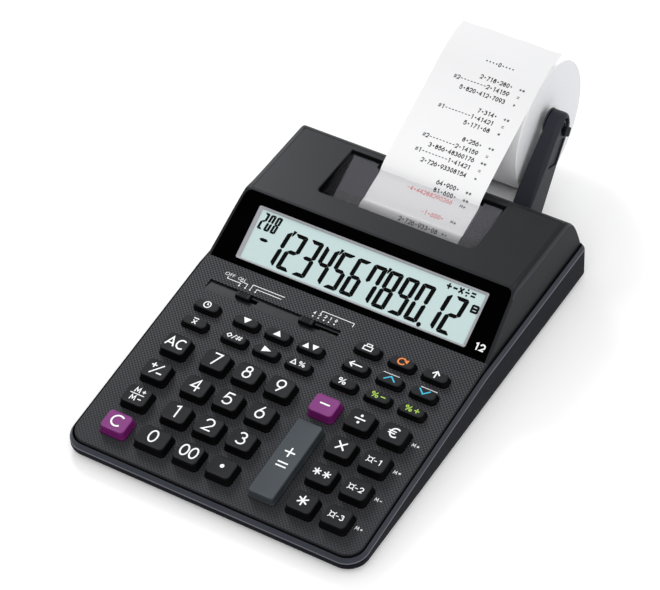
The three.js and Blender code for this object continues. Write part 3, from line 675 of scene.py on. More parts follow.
# ------------------------------------------------------------------ top case
ROOF = lambda y: DZ1 - 0.01 * (y - DY1)
PROFILE = [  # (y, z) of the upper surface from the display's foot to the rear wall
    (DY0, DZS), (140, None), (150, None), (159, None), (161.9, None), (162.7, 41.33), (163.3, 41.58), (164.0, 41.69),
    (166, None), (170, None), (178, None), (190, None), (205, None), (213, None),
    (216, ROOF(216)), (217.6, 40.75), (219.2, 39.7), (220.6, 38.2), (221.9, 36.2), (223.1, 33.2), (224.1, 29.6), (225.0, 25.6), (225.7, 21.9),
]


def surf(y):
    if y <= DY0:
        return deck_z(y)
    if y <= 161.95:
        return DZS + (y - DY0) * math.tan(SANG)
    if 164 < y <= 216:
        return ROOF(y)
    pts = [p for p in PROFILE if p[1] is not None]
    for a, b in zip(pts, pts[1:]):
        if a[0] <= y <= b[0]:
            return a[1] + (b[1] - a[1]) * (y - a[0]) / (b[0] - a[0])
    return pts[-1][1]


def fillet(y):
    if y < 158:
        return 0.8
    if y < 172:
        return 0.8 + (y - 158) / 14 * 1.9
    if y < 216:
        return 2.7
    return max(0.3, 2.7 - (y - 216) * 0.27)


def top_case():
    ys = [20, 40, 60, 80, 100, 112, 123.9] + [p[0] for p in PROFILE]
    base = rrect(-DECK, DECK, 2.5, REAR, 9, 14, 0.29, ys)
    # inward normals of the ring: only the corners and the two ends need them
    n = len(base)
    steps = 7
    loops = [[(x, y, ledge(y) + 0.5) for x, y in base]]
    for k in range(steps + 1):
        a = math.pi / 2 * k / steps
        l = []
        for i, (x, y) in enumerate(base):
            p0, p1 = base[i - 1], base[(i + 1) % n]
            tx, ty = p1[0] - p0[0], p1[1] - p0[1]
            m = math.hypot(tx, ty) or 1
            nx, ny = -ty / m, tx / m
            if abs(abs(x) - DECK) < 1e-6 and 12 < y < REAR - 1.2:
                nx, ny = (-1 if x > 0 else 1), 0
            r = fillet(y) if y < REAR - 0.9 else 0.27
            ins = r * (1 - math.cos(a))
            yy = y + ny * ins
            z = surf(min(yy, 225.7)) - r * (1 - math.sin(a))
            lean = max(0.0, z - 20.3) * 0.127 * (1 if x > 0 else -1)
            l.append((x + nx * ins - lean, yy, z))
        loops.append(l)
    v, f = loft(loops, False, False)
    # strips across the inner and lower rings
    cnt = len(ys)
    k0 = 15                     # first straight point on the right side
    left = lambda j: n - 15 - 1 - j   # same y on the left side
    for base_i, flip in ((0, True), ((len(loops) - 1) * n, False)):
        rights = [base_i + k0 + j for j in range(cnt)]
        lefts = [base_i + left(j) for j in range(cnt)]
        for j in range(cnt - 1):
            q = (rights[j], rights[j + 1], lefts[j + 1], lefts[j])
            f.append(tuple(reversed(q)) if flip else q)
        front = list(range(base_i, base_i + k0 + 1)) + list(range(base_i + n - 16, base_i + n))
        f.append(tuple(reversed(front)) if flip else tuple(front))
        rear = list(range(base_i + k0 + cnt - 1, base_i + n - 14 - cnt))
        f.append(tuple(reversed(rear)) if flip else tuple(rear))
    ob = make("top_case_shell", v, f, ["deck_smooth", "deck", "pit_shade", "deck_side_shade", "edge_highlight_mid", "edge_highlight"])
    # woven skin on the keyboard deck only
    for p in ob.data.polygons:
        c = p.center
        yy = c.y * 1e3 + SHIFT_Y
        if yy < DY0 and p.normal.z > 0.9:
            p.material_index = 1
        elif abs(p.normal.x) > 0.3 and yy < 225.5:
            # the side gets a duller, slightly darker copy of the plastic, painted shade, and its rounded top edge
            # lighter copies, painted highlight
            nz = p.normal.z
            if nz < 0.25:
                p.material_index = 3
            elif yy > 160:
                p.material_index = 5 if 0.42 < nz < 0.8 else (4 if nz < 0.9 else 0)
    return ob


KEYS = {}
COLS = (-60.7, -37.8, -19.5, -0.9, 24.1, 43.7, 62.3)
ROWS = (17.5, 35.1, 52.6, 70.4)
SROWS = (87.3, 98.7, 110.3)
for nm, x, y, kind in (
    ("key_all_clear", COLS[0], ROWS[3], "main"), ("key_sign", COLS[0], ROWS[2], "main"),
    ("key_markup", COLS[0], ROWS[1], "main"), ("key_clear", COLS[0], ROWS[0], "main"),
    ("key_7", COLS[1], ROWS[3], "main"), ("key_4", COLS[1], ROWS[2], "main"), ("key_1", COLS[1], ROWS[1], "main"),
    ("key_0", -39.7, ROWS[0], "wide"),
    ("key_8", COLS[2], ROWS[3], "main"), ("key_5", COLS[2], ROWS[2], "main"), ("key_2", COLS[2], ROWS[1], "main"),
    ("key_00", COLS[2], ROWS[0], "main"),
    ("key_9", COLS[3], ROWS[3], "main"), ("key_6", COLS[3], ROWS[2], "main"), ("key_3", COLS[3], ROWS[1], "main"),
    ("key_point", COLS[3], ROWS[0], "main"),
    ("key_minus", COLS[4], ROWS[3], "main"), ("key_plus_equals", 23.9, 35.1, "tall"),
    ("key_divide", COLS[5], ROWS[3], "main"), ("key_multiply", COLS[5], ROWS[2], "main"),
    ("key_grand_total", COLS[5], ROWS[1], "main"), ("key_total", COLS[5], ROWS[0], "main"),
    ("key_convert", COLS[6], ROWS[3], "main"), ("key_rate_1", COLS[6], ROWS[2], "main"),
    ("key_rate_2", COLS[6], ROWS[1], "main"), ("key_rate_3", COLS[6], ROWS[0], "main"),
    ("key_clock", COLS[0], SROWS[1], "low"), ("key_average", COLS[0], SROWS[0], "low"),
    ("key_cost", COLS[1], SROWS[1], "low"), ("key_number", COLS[1], SROWS[0], "low"),
    ("key_sell", COLS[2], SROWS[1], "low"), ("key_shift", COLS[2], SROWS[0], "low"),
    ("key_margin", COLS[3], SROWS[1], "low"), ("key_change_percent", COLS[3], SROWS[0], "low"),
    ("key_print", COLS[4] + 0.6, SROWS[2], "low"), ("key_correct", COLS[4] + 0.6, SROWS[1], "low"),
    ("key_percent", COLS[4] + 0.6, SROWS[0], "low"),
    ("key_reprint", COLS[5], SROWS[2], "low"), ("key_up", COLS[5], SROWS[1], "low"), ("key_tax_minus", COLS[5], SROWS[0], "low"),
    ("key_feed", COLS[6], SROWS[2], "low"), ("key_down", COLS[6], SROWS[1], "low"), ("key_tax_plus", COLS[6], SROWS[0], "low"),
):
    KEYS[nm] = (x, y, kind)
# skirt width and depth, top width and depth, height, corner radius
SIZE = {
    "main": (14.2, 12.2, 12.9, 10.6, 4.9, 2.2), "wide": (17.2, 12.2, 15.9, 10.6, 4.9, 2.2),
    "tall": (14.2, 47.8, 13.3, 46.6, 4.9, 1.5), "low": (14.4, 6.4, 12.8, 5.0, 3.2, 2.5),
}


def key_cutter():
    obs = []
    for nm, (x, y, kind) in KEYS.items():
        w, d, _, _, _, r = SIZE[kind]
        o = rrect(-w / 2 - 0.45, w / 2 + 0.45, -d / 2 - 0.45, d / 2 + 0.45, r + 0.2, 6)
        obs.append(prism("c", o, lambda p, h: on_deck(x, y, p[0], p[1], h), -9, 2))
    return join("c", obs)


shell = top_case()
hollow = [(133.2, 8), (223.6, 8), (223.6, 21.5), (221.6, 29), (218.4, 36.0), (214.5, 38.4), (164.8, 38.9), (133.2, 20.8)]
cutters = [
    prism("c", hollow, lambda p, x: (x, p[0], p[1]), -72.4, 72.4),
    box("c", -74.5, 74.5, 164.1, 216.1, 38.75, 60),
    box("c", -72.4, 72.4, 166.6, 213.6, 30, 60),
    prism("c", [(-78.5, 0.1), (78.5, 0.1), (76.5, 33.6), (76.1, 36.3), (75.2, 38.0), (73.4, 39.0), (-73.4, 39.0), (-75.2, 38.0), (-76.1, 36.3), (-76.5, 33.6)],
          lambda p, h: on_slope(p[0], p[1], h), -1.4, 10),
    box("c", -25.5, 38, 215, 235, 22.3, 26.6),
]
lcd_hole = prism("c", [(-66.2, 3.3), (66.2, 3.3), (66.2, 33.4), (-66.2, 33.4)], lambda p, h: on_slope(p[0], p[1], h), -8, 0)
cutters.append(lcd_hole)
cut(shell, cutters)
# sunken switch strip: deep at the rear, running out level at the front
strip = prism("c", [(-3.9, 0.02), (3.5, -1.1), (3.5, 1), (-3.9, 1)], lambda p, x: on_deck(x, 112.5, 0, p[0], p[1]), -69.9, 6.0, ("deck_smooth",))
slots = [prism("c", rrect(a, b, -0.9, 1.8, 0.25, 3), lambda p, h: on_deck(0, 112.5, p[0], p[1], h), -5, 2) for a, b in ((-59.4, -40.8), (-16.6, 5.6))]
cut(shell, [strip, *slots, key_cutter()])
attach(shell, "body")
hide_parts("top_case")


# -------------------------------------------------------------------- window
def window():
    def out(i):
        return [(-78.2 + i, 0.35 + i), (78.2 - i, 0.35 + i), (76.3 - i, 33.2), (75.9 - i, 36.0), (75.1 - i * 0.8, 37.6 - i * 0.5), (73.4 - i * 0.3, 38.7 - i),
                (-73.4 + i * 0.3, 38.7 - i), (-75.1 + i * 0.8, 37.6 - i * 0.5), (-75.9 + i, 36.0), (-76.3 + i, 33.2)]
    v, f = loft([[on_slope(*p, -1.1) for p in out(0)], [on_slope(*p, -0.25) for p in out(0)], [on_slope(*p, -0.1) for p in out(0.15)]])
    ob = make("display_window_plate", v, f, ["window"])
    o = rrect(-65.9, 65.9, 3.6, 33.1, 1.0, 5)
    cut(ob, [prism("c", o, lambda p, h: on_slope(p[0], p[1], h), -5, 5, ("window",))])
    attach(ob, "body")
    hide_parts("display_window")
    # silver frame that slopes down to the glass, wider on the left
    def fr(l, r, b, t, rad, h):
        return [on_slope(*p, h) for p in rrect(-65.9 + l, 65.9 - r, 3.6 + b, 33.1 - t, rad, 5)]
    rings = [fr(0.05, 0.05, 0.05, 0.05, 1.0, -1.0), fr(0.05, 0.05, 0.05, 0.05, 1.0, -0.3), fr(0.25, 0.25, 0.25, 0.25, 0.9, -0.16),
             fr(0.9, 0.8, 0.6, 0.7, 0.8, -0.2), fr(2.0, 1.55, 1.0, 1.2, 0.5, -0.55), fr(2.25, 1.75, 1.15, 1.4, 0.4, -0.84), fr(2.25, 1.75, 1.15, 1.4, 0.4, -1.0)]
    v, f = loft(rings, False, False)
    n = len(rings[0])
    k = len(rings) - 1
    f += [(i, k * n + i, k * n + (i + 1) % n, (i + 1) % n) for i in range(n)]
    bz = make("display_bezel", v, f, ["bezel"])
    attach(bz, "body")
    # plain numerals at the window's lower right
    ob = decal("window_digit_count", both(numeral("1", 71.2, 6.6, 3.9, 0.75), numeral("2", 74.2, 6.6, 3.9, 0.75)), lambda u, q: on_slope(u, q, -0.06), "white")
    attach(ob, "body")


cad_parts["lcd_panel"].data.materials.clear()
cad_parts["lcd_panel"].data.materials.append(MAT["lcd"])

# Segments of the number display
SEG = {"0": "abcdef", "1": "bc", "2": "abged", "3": "abgcd", "4": "fgbc", "5": "afgcd", "6": "afgecd", "7": "fabc", "8": "abcdefg", "9": "abcdfg", "-": "g"}


def digit(ch, cx, cy, w, h, t, lean=0.118):
    """Seven-segment digit with the slant of the display's cells."""
    x0, x1, y0, y1, ym = -w / 2, w / 2, -h / 2, h / 2, 0
    q, g, th = t, 0.03, t * 0.84
    S = {
        "a": [(x0 + 0.45 * q + g, y1), (x1 - 0.45 * q - g, y1), (x1 - 0.22 * q - g, y1 - 0.22 * th), (x1 - q - g, y1 - th), (x0 + q + g, y1 - th), (x0 + 0.22 * q + g, y1 - 0.22 * th)],
        "d": [(x0 + 0.45 * q + g, y0), (x0 + 0.22 * q + g, y0 + 0.22 * th), (x0 + q + g, y0 + th), (x1 - q - g, y0 + th), (x1 - 0.22 * q - g, y0 + 0.22 * th), (x1 - 0.45 * q - g, y0)],
        "g": [(x0 + q * 0.5, 0), (x0 + q, th / 2), (x1 - q, th / 2), (x1 - q * 0.5, 0), (x1 - q, -th / 2), (x0 + q, -th / 2)],
        "f": [(x0, y1 - 0.45 * th - g), (x0 + 0.22 * q, y1 - 0.22 * th - g), (x0 + q, y1 - th - g), (x0 + q, th / 2 + g), (x0 + q * 0.45, g), (x0, th * 0.4)],
        "b": [(x1, y1 - 0.45 * th - g), (x1, th * 0.4), (x1 - q * 0.45, g), (x1 - q, th / 2 + g), (x1 - q, y1 - th - g), (x1 - 0.22 * q, y1 - 0.22 * th - g)],
        "e": [(x0, y0 + 0.45 * th + g), (x0, -th * 0.4), (x0 + q * 0.45, -g), (x0 + q, -th / 2 - g), (x0 + q, y0 + th + g), (x0 + 0.22 * q, y0 + 0.22 * th + g)],
        "c": [(x1, y0 + 0.45 * th + g), (x1 - 0.22 * q, y0 + 0.22 * th + g), (x1 - q, y0 + th + g), (x1 - q, -th / 2 - g), (x1 - q * 0.45, -g), (x1, -th * 0.4)],
    }
    parts = []
    for s in SEG[ch]:
        parts.append(poly([(cx + a + b * lean, cy + b) for a, b in S[s]]))
    return both(*parts)


def lcd():
    parts = []
    for i, ch in enumerate(reversed("123456789012")):
        parts.append(digit(ch, 52.9 - 9.17 * i, 16.2, 7.7, 20.4, 2.4))
    parts.append(disc(38.7, 6.1, 1.25))
    parts.append(poly([(-58.5, 17.0), (-57.2, 16.15), (-54.6, 16.15), (-53.3, 17.0), (-54.6, 17.85), (-57.2, 17.85)]))
    for x in (-41.9, -14.4, 13.1):
        parts.append(poly([(x - 1.1, 23.8), (x - 0.4, 24.1), (x + 1.0, 26.9), (x - 0.9, 27.2)]))
    for i, ch in enumerate("208"):
        parts.append(digit(ch, -60.5 + 3.75 * i, 26.1, 3.1, 9.2, 1.32))
    # row of small operator marks
    y, row = 29.4, []
    row += [stroke([(44.0, y), (46.5, y)], 0.82), stroke([(45.25, y - 1.25), (45.25, y + 1.25)], 0.82), stroke([(47.4, y), (49.6, y)], 0.82)]
    row += [stroke([(50.5, y - 1.15), (52.6, y + 1.15)], 0.82), stroke([(50.5, y + 1.15), (52.6, y - 1.15)], 0.82)]
    row += [stroke([(53.5, y), (55.7, y)], 0.7), disc(54.6, y + 1.25, 0.48, 8), disc(54.6, y - 1.25, 0.48, 8)]
    row += [stroke([(56.6, y + 0.65), (58.9, y + 0.65)], 0.78), stroke([(56.6, y - 0.65), (58.9, y - 0.65)], 0.78)]
    parts += [([((a - 51.5) * 1.08 + 51.5, (c - y) * 1.22 + y) for a, c in v], f) for v, f in row]
    parts.append(poly([(60.1, 20.9), (63.5, 20.9), (64.1, 21.6), (64.1, 24.6), (63.5, 25.3), (60.5, 25.3), (59.9, 24.6), (59.9, 21.6)]))
    ob = decal("lcd_segments", both(*parts), lambda u, s: on_slope(u, s, -0.86), "segment")
    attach(ob, "body")
    ob = decal("lcd_icon_lines", both(poly([(61.0, 22.1), (63.0, 22.1), (63.0, 22.5), (61.0, 22.5)]), poly([(61.0, 23.7), (63.0, 23.7), (63.0, 24.1), (61.0, 24.1)])),
               lambda u, s: on_slope(u, s, -0.84), "lcd")
    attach(ob, "body")




# --------------------------------------------------------------------- cover
def cover():
    o = rrect(-74.4, 74.4, 164.2, 216.0, 0.8, 4)
    z = lambda p, h: (p[0], p[1], ROOF(p[1]) + h)
    o2 = rrect(-74.28, 74.28, 164.32, 215.88, 0.7, 4)
    v, f = loft([[z(p, -2.6) for p in o], [z(p, -0.12) for p in o], [z(p, 0) for p in o2]])
    ob = make("printer_cover_lid", v, f, ["deck_smooth"])
    # pocket with its small front-left and larger front-right corner
    def pocket(g):
        pts = []
        x0, x1, y0, y1 = -44.3 - g, 45 + g, 177.9 - g, 213.2 + g
        for i in range(7):
            a = math.radians(180 + 15 * i)
            pts.append((x0 + 2.5 + 2.5 * math.cos(a), y0 + 2.5 + 2.5 * math.sin(a)))
        for i in range(9):
            a = math.radians(270 + 90 / 8 * i)
            pts.append((x1 - 5 + 5 * math.cos(a), y0 + 5 + 5 * math.sin(a)))
        pts += [(x1, y1), (x0, y1)]
        return pts
    v, f = loft([[(p[0], p[1], 34) for p in pocket(0)], [(p[0], p[1], ROOF(p[1]) - 0.7) for p in pocket(0)],
                 [(p[0], p[1], ROOF(p[1]) - 0.25) for p in pocket(0.15)], [(p[0], p[1], ROOF(p[1]) + 0.02) for p in pocket(0.7)],
                 [(p[0], p[1], 50) for p in pocket(0.8)]])
    c = make("c", v, f, ["deck_smooth"], weighted=False)
    cut(ob, [c])
    # the pocket's walls get the near-black pit material: painted shade
    ob.data.materials.append(MAT["pit_shade"])
    top = W((0, 0, ROOF(195))).z
    for q in ob.data.polygons:
        cc = q.center
        if abs(q.normal.z) < 0.3 and cc.z < top - 0.0004 and W((0, 176.5, 0)).y < cc.y < W((0, 214.6, 0)).y and abs(cc.x) < 0.0465:
            q.material_index = len(ob.data.materials) - 1
    # the rear wall catches a little more light
    ob.data.materials.append(MAT["recess"])
    for q in ob.data.polygons:
        if q.normal.y < -0.7 and abs(q.center.x) < 0.0465 and q.center.y > W((0, 211.5, 0)).y and q.center.y < W((0, 215.4, 0)).y:
            q.material_index = len(ob.data.materials) - 1
    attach(ob, "body")
    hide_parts("printer_cover")
    # walls under the lid
    w0, w1 = pocket(1.6), pocket(0.02)
    n = len(w0)
    rings = [[(p[0], min(p[1], 213.2), zz) for p in w] for w, zz in ((w0, 35.2), (w0, 39.0), (w1, 39.0), (w1, 35.2))]
    v, f = loft(rings, False, False)
    f += [(3 * n + i, 3 * n + (i + 1) % n, (i + 1) % n, i) for i in range(n)]
    # painted shade: near-black walls, the rear ones a lighter dark grey
    wl = make("printer_cover_pocket_wall", v, f, ["pit_shade", "recess"])
    for q in wl.data.polygons:
        if abs(q.normal.y) > 0.7 and q.center.y > W((0, 211.5, 0)).y:
            q.material_index = 1
    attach(wl, "body")


cover()


def cutter():
    y0, y1 = 178.25, 209.2
    sl = lambda y: 37.2 + (y - 180) * 5.1 / 29
    x0, x1 = -43.95, 44.65
    plan = []
    for i in range(6):
        a = math.radians(180 + 18 * i)
        plan.append((x0 + 2.5 + 2.5 * math.cos(a), y0 + 2.5 + 2.5 * math.sin(a)))
    for i in range(8):
        a = math.radians(270 + 90 / 7 * i)
        plan.append((x1 - 4.7 + 4.7 * math.cos(a), y0 + 4.7 + 4.7 * math.sin(a)))
    plan += [(x1, y1), (34.6, y1), (34.4, y1 - 3.2)]
    t = 58
    for i in range(t):
        a, b = 34.2 - (i + 0.5) * 60.2 / t, 34.2 - (i + 1) * 60.2 / t
        plan += [(a, y1 - 2.6), (b, y1 - 3.1)]
    plan += [(-26.4, y1 - 3.2), (-26.6, y1), (x0, y1)]
    v, f = loft([[(p[0], p[1], sl(p[1]) - 1.2) for p in plan], [(p[0], p[1], sl(p[1])) for p in plan]])
    ob = make("paper_cutter_plate", v, f, ["smoke", "smoke_front_shade", "smoke_clear"])
    # the plate's front band, under the cover's lip, is darker, a painted shadow, and its left end is clear
    bm = bmesh.new()
    bm.from_mesh(ob.data)
    yb = W((0, 186.6, 0)).y
    bmesh.ops.bisect_plane(bm, geom=bm.verts[:] + bm.edges[:] + bm.faces[:], plane_co=(0, yb, 0), plane_no=(0, 1, 0))
    q0, q1 = W((-41.0, 209.8, 0)), W((-37.6, 182.8, 0))
    d = (q1 - q0).normalized()
    nn = Vector((-d.y, d.x, 0))
    bmesh.ops.bisect_plane(bm, geom=bm.verts[:] + bm.edges[:] + bm.faces[:], plane_co=q0, plane_no=nn)
    for q in bm.faces:
        c = q.calc_center_median()
        q.material_index = 2 if (c - q0).dot(nn) < 0 else (1 if c.y < yb else 0)
    bm.to_mesh(ob.data)
    bm.free()
    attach(ob, "body")
    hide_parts("paper_cutter")
    # near-black guide sheets under the plate, beside the strip: painted shade
    fl = []
    for q in ([(-43.9, 212.4), (-43.9, 178.6), (-24.9, 178.6), (-24.9, 212.4)], [(33.5, 212.4), (33.5, 178.6), (44.5, 178.6), (44.5, 212.4)]):
        v, f = loft([[(a, b, sl(b) - 3.6) for a, b in q], [(a, b, sl(b) - 3.0) for a, b in q]])
        fl.append(make("g", v, f, ["pit_shade"]))
    gd = join("cutter_guides_painted_shade", fl)
    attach(gd, "body")


cutter()


# ---------------------------------------------------------------- paper tape
def spline(pts, per=6):
    """Catmull-Rom through the points."""
    P = [np.array(p, float) for p in pts]
    out = []
    for i in range(len(P) - 1):
        a, b, c, d = P[max(i - 1, 0)], P[i], P[i + 1], P[min(i + 2, len(P) - 1)]
        for k in range(per):
            t = k / per
            out.append(0.5 * (2 * b + (c - a) * t + (2 * a - 5 * b + 4 * c - d) * t * t + (3 * b - a - 3 * c + d) * t ** 3))
    out.append(P[-1])
    return out


TAPE_W, TAPE_X = 57.2, 4.15


def tape_path():
    pts = []
    rr = ROLL_R + 0.45
    iy, iz = 226, 24.4
    dx, dz = ROLL[0] - iy, ROLL[1] - iz
    dist = math.hypot(dx, dz)
    ang = math.atan2(dz, dx) - math.asin(rr / dist)
    ln = math.sqrt(dist * dist - rr * rr)
    pts += [(iy + ln * math.cos(ang), iz + ln * math.sin(ang)), (iy + 0.5 * ln * math.cos(ang), iz + 0.5 * ln * math.sin(ang) - 0.5),
            (228, 23.4), (222, 24.2), (212, 23.6)]
    a = spline(pts, 5)
    pr = 6.2 + 0.45
    ring = [(189 + pr * math.cos(math.radians(t)), 28.6 + pr * math.sin(math.radians(t))) for t in range(-84, -283, -9)]
    b = spline([ring[-1], (197, 37.4), (205.0, 39.6), (207.2, 40.9), (208.9, 42.8), (213.4, 45.8), (222, 50.5), (237.1, 58.3), (252, 65.8), (266.7, 73.4),
                (272, 75.8), (277.1, 77.6), (284, 79.0), (290.7, 79.2)], 8)
    return [tuple(p) for p in a] + ring[:-1] + [tuple(p) for p in b]


PATH = tape_path()


def tape_shift(y, z):
    if z > 42 and y > 207:
        return 0.029 * (y - 207)
    if z < 26 and y > 200:
        return 1.3 * min(1.0, (y - 200) / 20)
    return 0.0


def tape():
    # resample the path evenly
    P = np.array(PATH)
    d = np.r_[0, np.cumsum(np.hypot(*np.diff(P, axis=0).T))]
    n = int(d[-1] / 1.2)
    s = np.linspace(0, d[-1], n)
    C = np.c_[np.interp(s, d, P[:, 0]), np.interp(s, d, P[:, 1])]
    T = np.gradient(C, axis=0)
    T /= np.linalg.norm(T, axis=1)[:, None]
    N = np.c_[-T[:, 1], T[:, 0]]
    cols = 30
    v, f = [], []
    rng = np.random.RandomState(7)
    ragged = np.convolve(rng.rand(cols + 1), np.ones(3) / 3, "same")
    for side in (1, -1):
        for i in range(n):
            sh = tape_shift(*C[i])
            for j in range(cols + 1):
                x = TAPE_X - TAPE_W / 2 + TAPE_W * j / cols + sh
                p = C[i] + N[i] * 0.06 * side
                if i == n - 1:
                    # torn end
                    back = 0.5 * ragged[j] + 0.25 * math.sin(j * 0.55)
                    p = p - T[i] * max(0.0, back + 0.25)
                v.append((x, p[0], p[1]))
    w = cols + 1
    off = n * w
    fm = []
    for i in range(n - 1):
        fm += [0, 1 if C[i][1] > 43 else 0] * cols + [0, 0]
    fm += [0] * (2 * cols)
    for i in range(n - 1):
        for j in range(cols):
            a = i * w + j
            f.append((a, a + 1, a + w + 1, a + w))
            f.append((off + a, off + a + w, off + a + w + 1, off + a + 1))
        a = i * w
        f.append((a, a + w, off + a + w, off + a))
        a = i * w + cols
        f.append((a + w, a, off + a, off + a + w))
    for j in range(cols):
        f.append((j + 1, j, off + j, off + j + 1))
        a = (n - 1) * w + j
        f.append((a, a + 1, off + a + 1, off + a))
    ob = make("paper_tape_strip", v, f, ["paper_strip", "paper_back_glow"], fm, sharp=60, weighted=False)
    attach(ob, "body")
    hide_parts("paper_tape")
    return C, N, s


TC, TN, TS = tape()
# arc length at which the strip passes y = 207.5 on its way up
_k0 = [i for i in range(len(TC)) if TC[i][0] > 207 and TC[i][1] > 40][0]
S0 = TS[_k0]


def tape_point(x, v):
    """x across, v along the strip in mm past the cutter's edge."""
    s = S0 + v
    y = float(np.interp(s, TS, TC[:, 0]))
    z = float(np.interp(s, TS, TC[:, 1]))
    ny = float(np.interp(s, TS, TN[:, 0]))
    nz = float(np.interp(s, TS, TN[:, 1]))
    h = 0.1 if v > -17 else 0.2
    return (x + tape_shift(y, z), y + ny * h, z + nz * h)


def printed(body, xr, v, h=2.55, pitch=1.88, t=0.5):
    """One printed line, each character in its own cell, right end at xr."""
    out = []
    for i, ch in enumerate(reversed(body)):
        cx = xr - pitch * (i + 0.5)
        if ch == ".":
            out.append(disc(cx, v, 0.44, 8))
        elif ch == "-":
            out.append(stroke([(cx - 0.55, v), (cx + 0.55, v)], t * 0.85))
        elif ch == "#":
            k = h * 0.42
            out += [stroke([(cx - 0.28 + a, v - k), (cx - 0.05 + a, v + k)], 0.3) for a in (-0.2, 0.5)]
            out += [stroke([(cx - 0.75, v + b), (cx + 0.75, v + b)], 0.28) for b in (-0.42, 0.42)]
        elif ch == "*":
            out.append(star(cx, v, 0.75, 0.3))
        elif ch == "+":
            out += [stroke([(cx - 0.7, v), (cx + 0.7, v)], 0.38), stroke([(cx, v - 0.7), (cx, v + 0.7)], 0.38)]
        elif ch == "=":
            out += [stroke([(cx - 0.65, v + 0.4), (cx + 0.65, v + 0.4)], 0.34), stroke([(cx - 0.65, v - 0.4), (cx + 0.65, v - 0.4)], 0.34)]
        elif ch == "M":
            k = h * 0.36
            out.append(stroke([(cx - 0.65, v - k), (cx - 0.6, v + k), (cx, v - 0.1), (cx + 0.6, v + k), (cx + 0.65, v - k)], 0.34))
        elif ch in "0123456789":
            q, f = numeral(ch, 0, 0, h, t)
            out.append(([(a * 0.9 + cx, b + v) for a, b in q], f))
    return out


def print_rows():
    cosu = 1 / 1.121          # the strip rises, so y distances are shorter than lengths
    rows = [  # (y on the strip, number, mark)
        (264.8, "2.718.280.", "+*"), (261.0, "#2--------2.14159", "="), (257.0, "5.820.412.7093", "+"),
        (249.2, "7.314.", "+*"), (245.5, "#1--------1.41421", "="), (241.7, "5.171.68", "*"),
        (234.0, "8.256.", "+*"), (230.0, "#2--------2.14159", "="), (226.3, "3.856.48360176", "**"),
        (222.5, "#1--------1.41421", "="), (218.5, "2.726.93308154", "+"), (211.2, "64.900.", "**"), (207.5, "81.600.", "**"),
    ]
    black = printed("....0....", 16.0, (272.8 - 207.5) / cosu)
    for y, num, mark in rows:
        v = (y - 207.5) / cosu
        black += printed(num, 19.6, v)
        black += printed(mark, 26.6 if len(mark) == 2 else 25.6, v, 2.1, 1.75, 0.42)
    for v in (-3.4, -13.6):
        black += printed("M+", 26.6, v, 2.0, 1.75, 0.36)
    ob = decal("tape_print_black", both(*black), tape_point, "ink")
    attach(ob, "body")
    red = printed("-4.44288290266", 19.0, -3.4, t=0.36) + printed("-1.600.", 19.4, -13.6, t=0.36)
    ob = decal("tape_print_red", both(*red), tape_point, "ink_red")
    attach(ob, "body")
    grey = printed("2.726.933.08", 20.4, -22.0) + printed("+.", 26.0, -22.0, 2.0, 1.75, 0.36)
    ob = decal("tape_print_shaded", both(*grey), tape_point, "ink_grey")
    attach(ob, "body")


print_rows()


# ------------------------------------------------------------- roll and arms
def roll():
    cy, cz = ROLL
    prof = [(9.8, RX0), (9.8, RX1), (11.2, RX1), (11.2, RX1 - 0.15), (ROLL_R - 0.3, RX1 - 0.05), (ROLL_R, RX1 - 0.35),
            (ROLL_R, RX0 + 0.35), (ROLL_R - 0.3, RX0 + 0.05), (11.2, RX0 + 0.15), (11.2, RX0)]
    mats = [2, 2, 2, 0, 1, 1, 1, 0, 2, 2]
    n = 120
    v, f, fm = [], [], []
    for r, x in prof:
        for i in range(n):
            a = 2 * math.pi * i / n
            v.append((x, cy + r * math.cos(a), cz + r * math.sin(a)))
    m = len(prof)
    for k in range(m):
        for i in range(n):
            j = (i + 1) % n
            f.append((k * n + i, k * n + j, ((k + 1) % m) * n + j, ((k + 1) % m) * n + i))
            fm.append(mats[k])
    ob = make("paper_roll_wound", v, f, ["roll_face", "paper", "card"], fm)
    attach(ob, "roll")
    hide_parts("paper_roll")


roll()
TIP, TIP_R = (272.5, 49.0), 7.0
PIN = (275.4, 45.3)


def arm_outline(inset=0.0):
    p = [(228.8, 3.2), (242.6, 3.2), (245.4, 4.6), (248.1, 7.8), (263.9, 28.6)]
    for a in range(-40, 151, 10):
        r = math.radians(a)
        p.append((TIP[0] + TIP_R * math.cos(r), TIP[1] + TIP_R * math.sin(r)))
    p += [(261, 47.4), (252, 38.4), (235.9, 21.8), (232.6, 18.6), (228.8, 17.0)]
    if not inset:
        return p
    out = []
    n = len(p)
    for i in range(n):
        a, b, c = Vector(p[i - 1]), Vector(p[i]), Vector(p[(i + 1) % n])
        d1, d2 = (b - a).normalized(), (c - b).normalized()
        t = (d1 + d2).normalized()
        nn = Vector((-t.y, t.x))
        k = inset / max(0.5, nn.dot(Vector((-d1.y, d1.x))))
        q = b + nn * k
        out.append((q.x, q.y))
    return out


def tube(name, r, x0, x1, y, z, mat, n=32, bev=0.3):
    rings = [(r - bev, x0), (r, x0 + bev), (r, x1 - bev), (r - bev, x1)]
    v, f = loft([[(x, y + q * math.cos(2 * math.pi * i / n), z + q * math.sin(2 * math.pi * i / n)) for i in range(n)] for q, x in rings])
    return make(name, v, f, [mat])


ARM_R, ARM_L = (36.2, 46.5, 2.4), (-34.9, -24.9, 4.6)     # inner face, outer face, taper at the tip


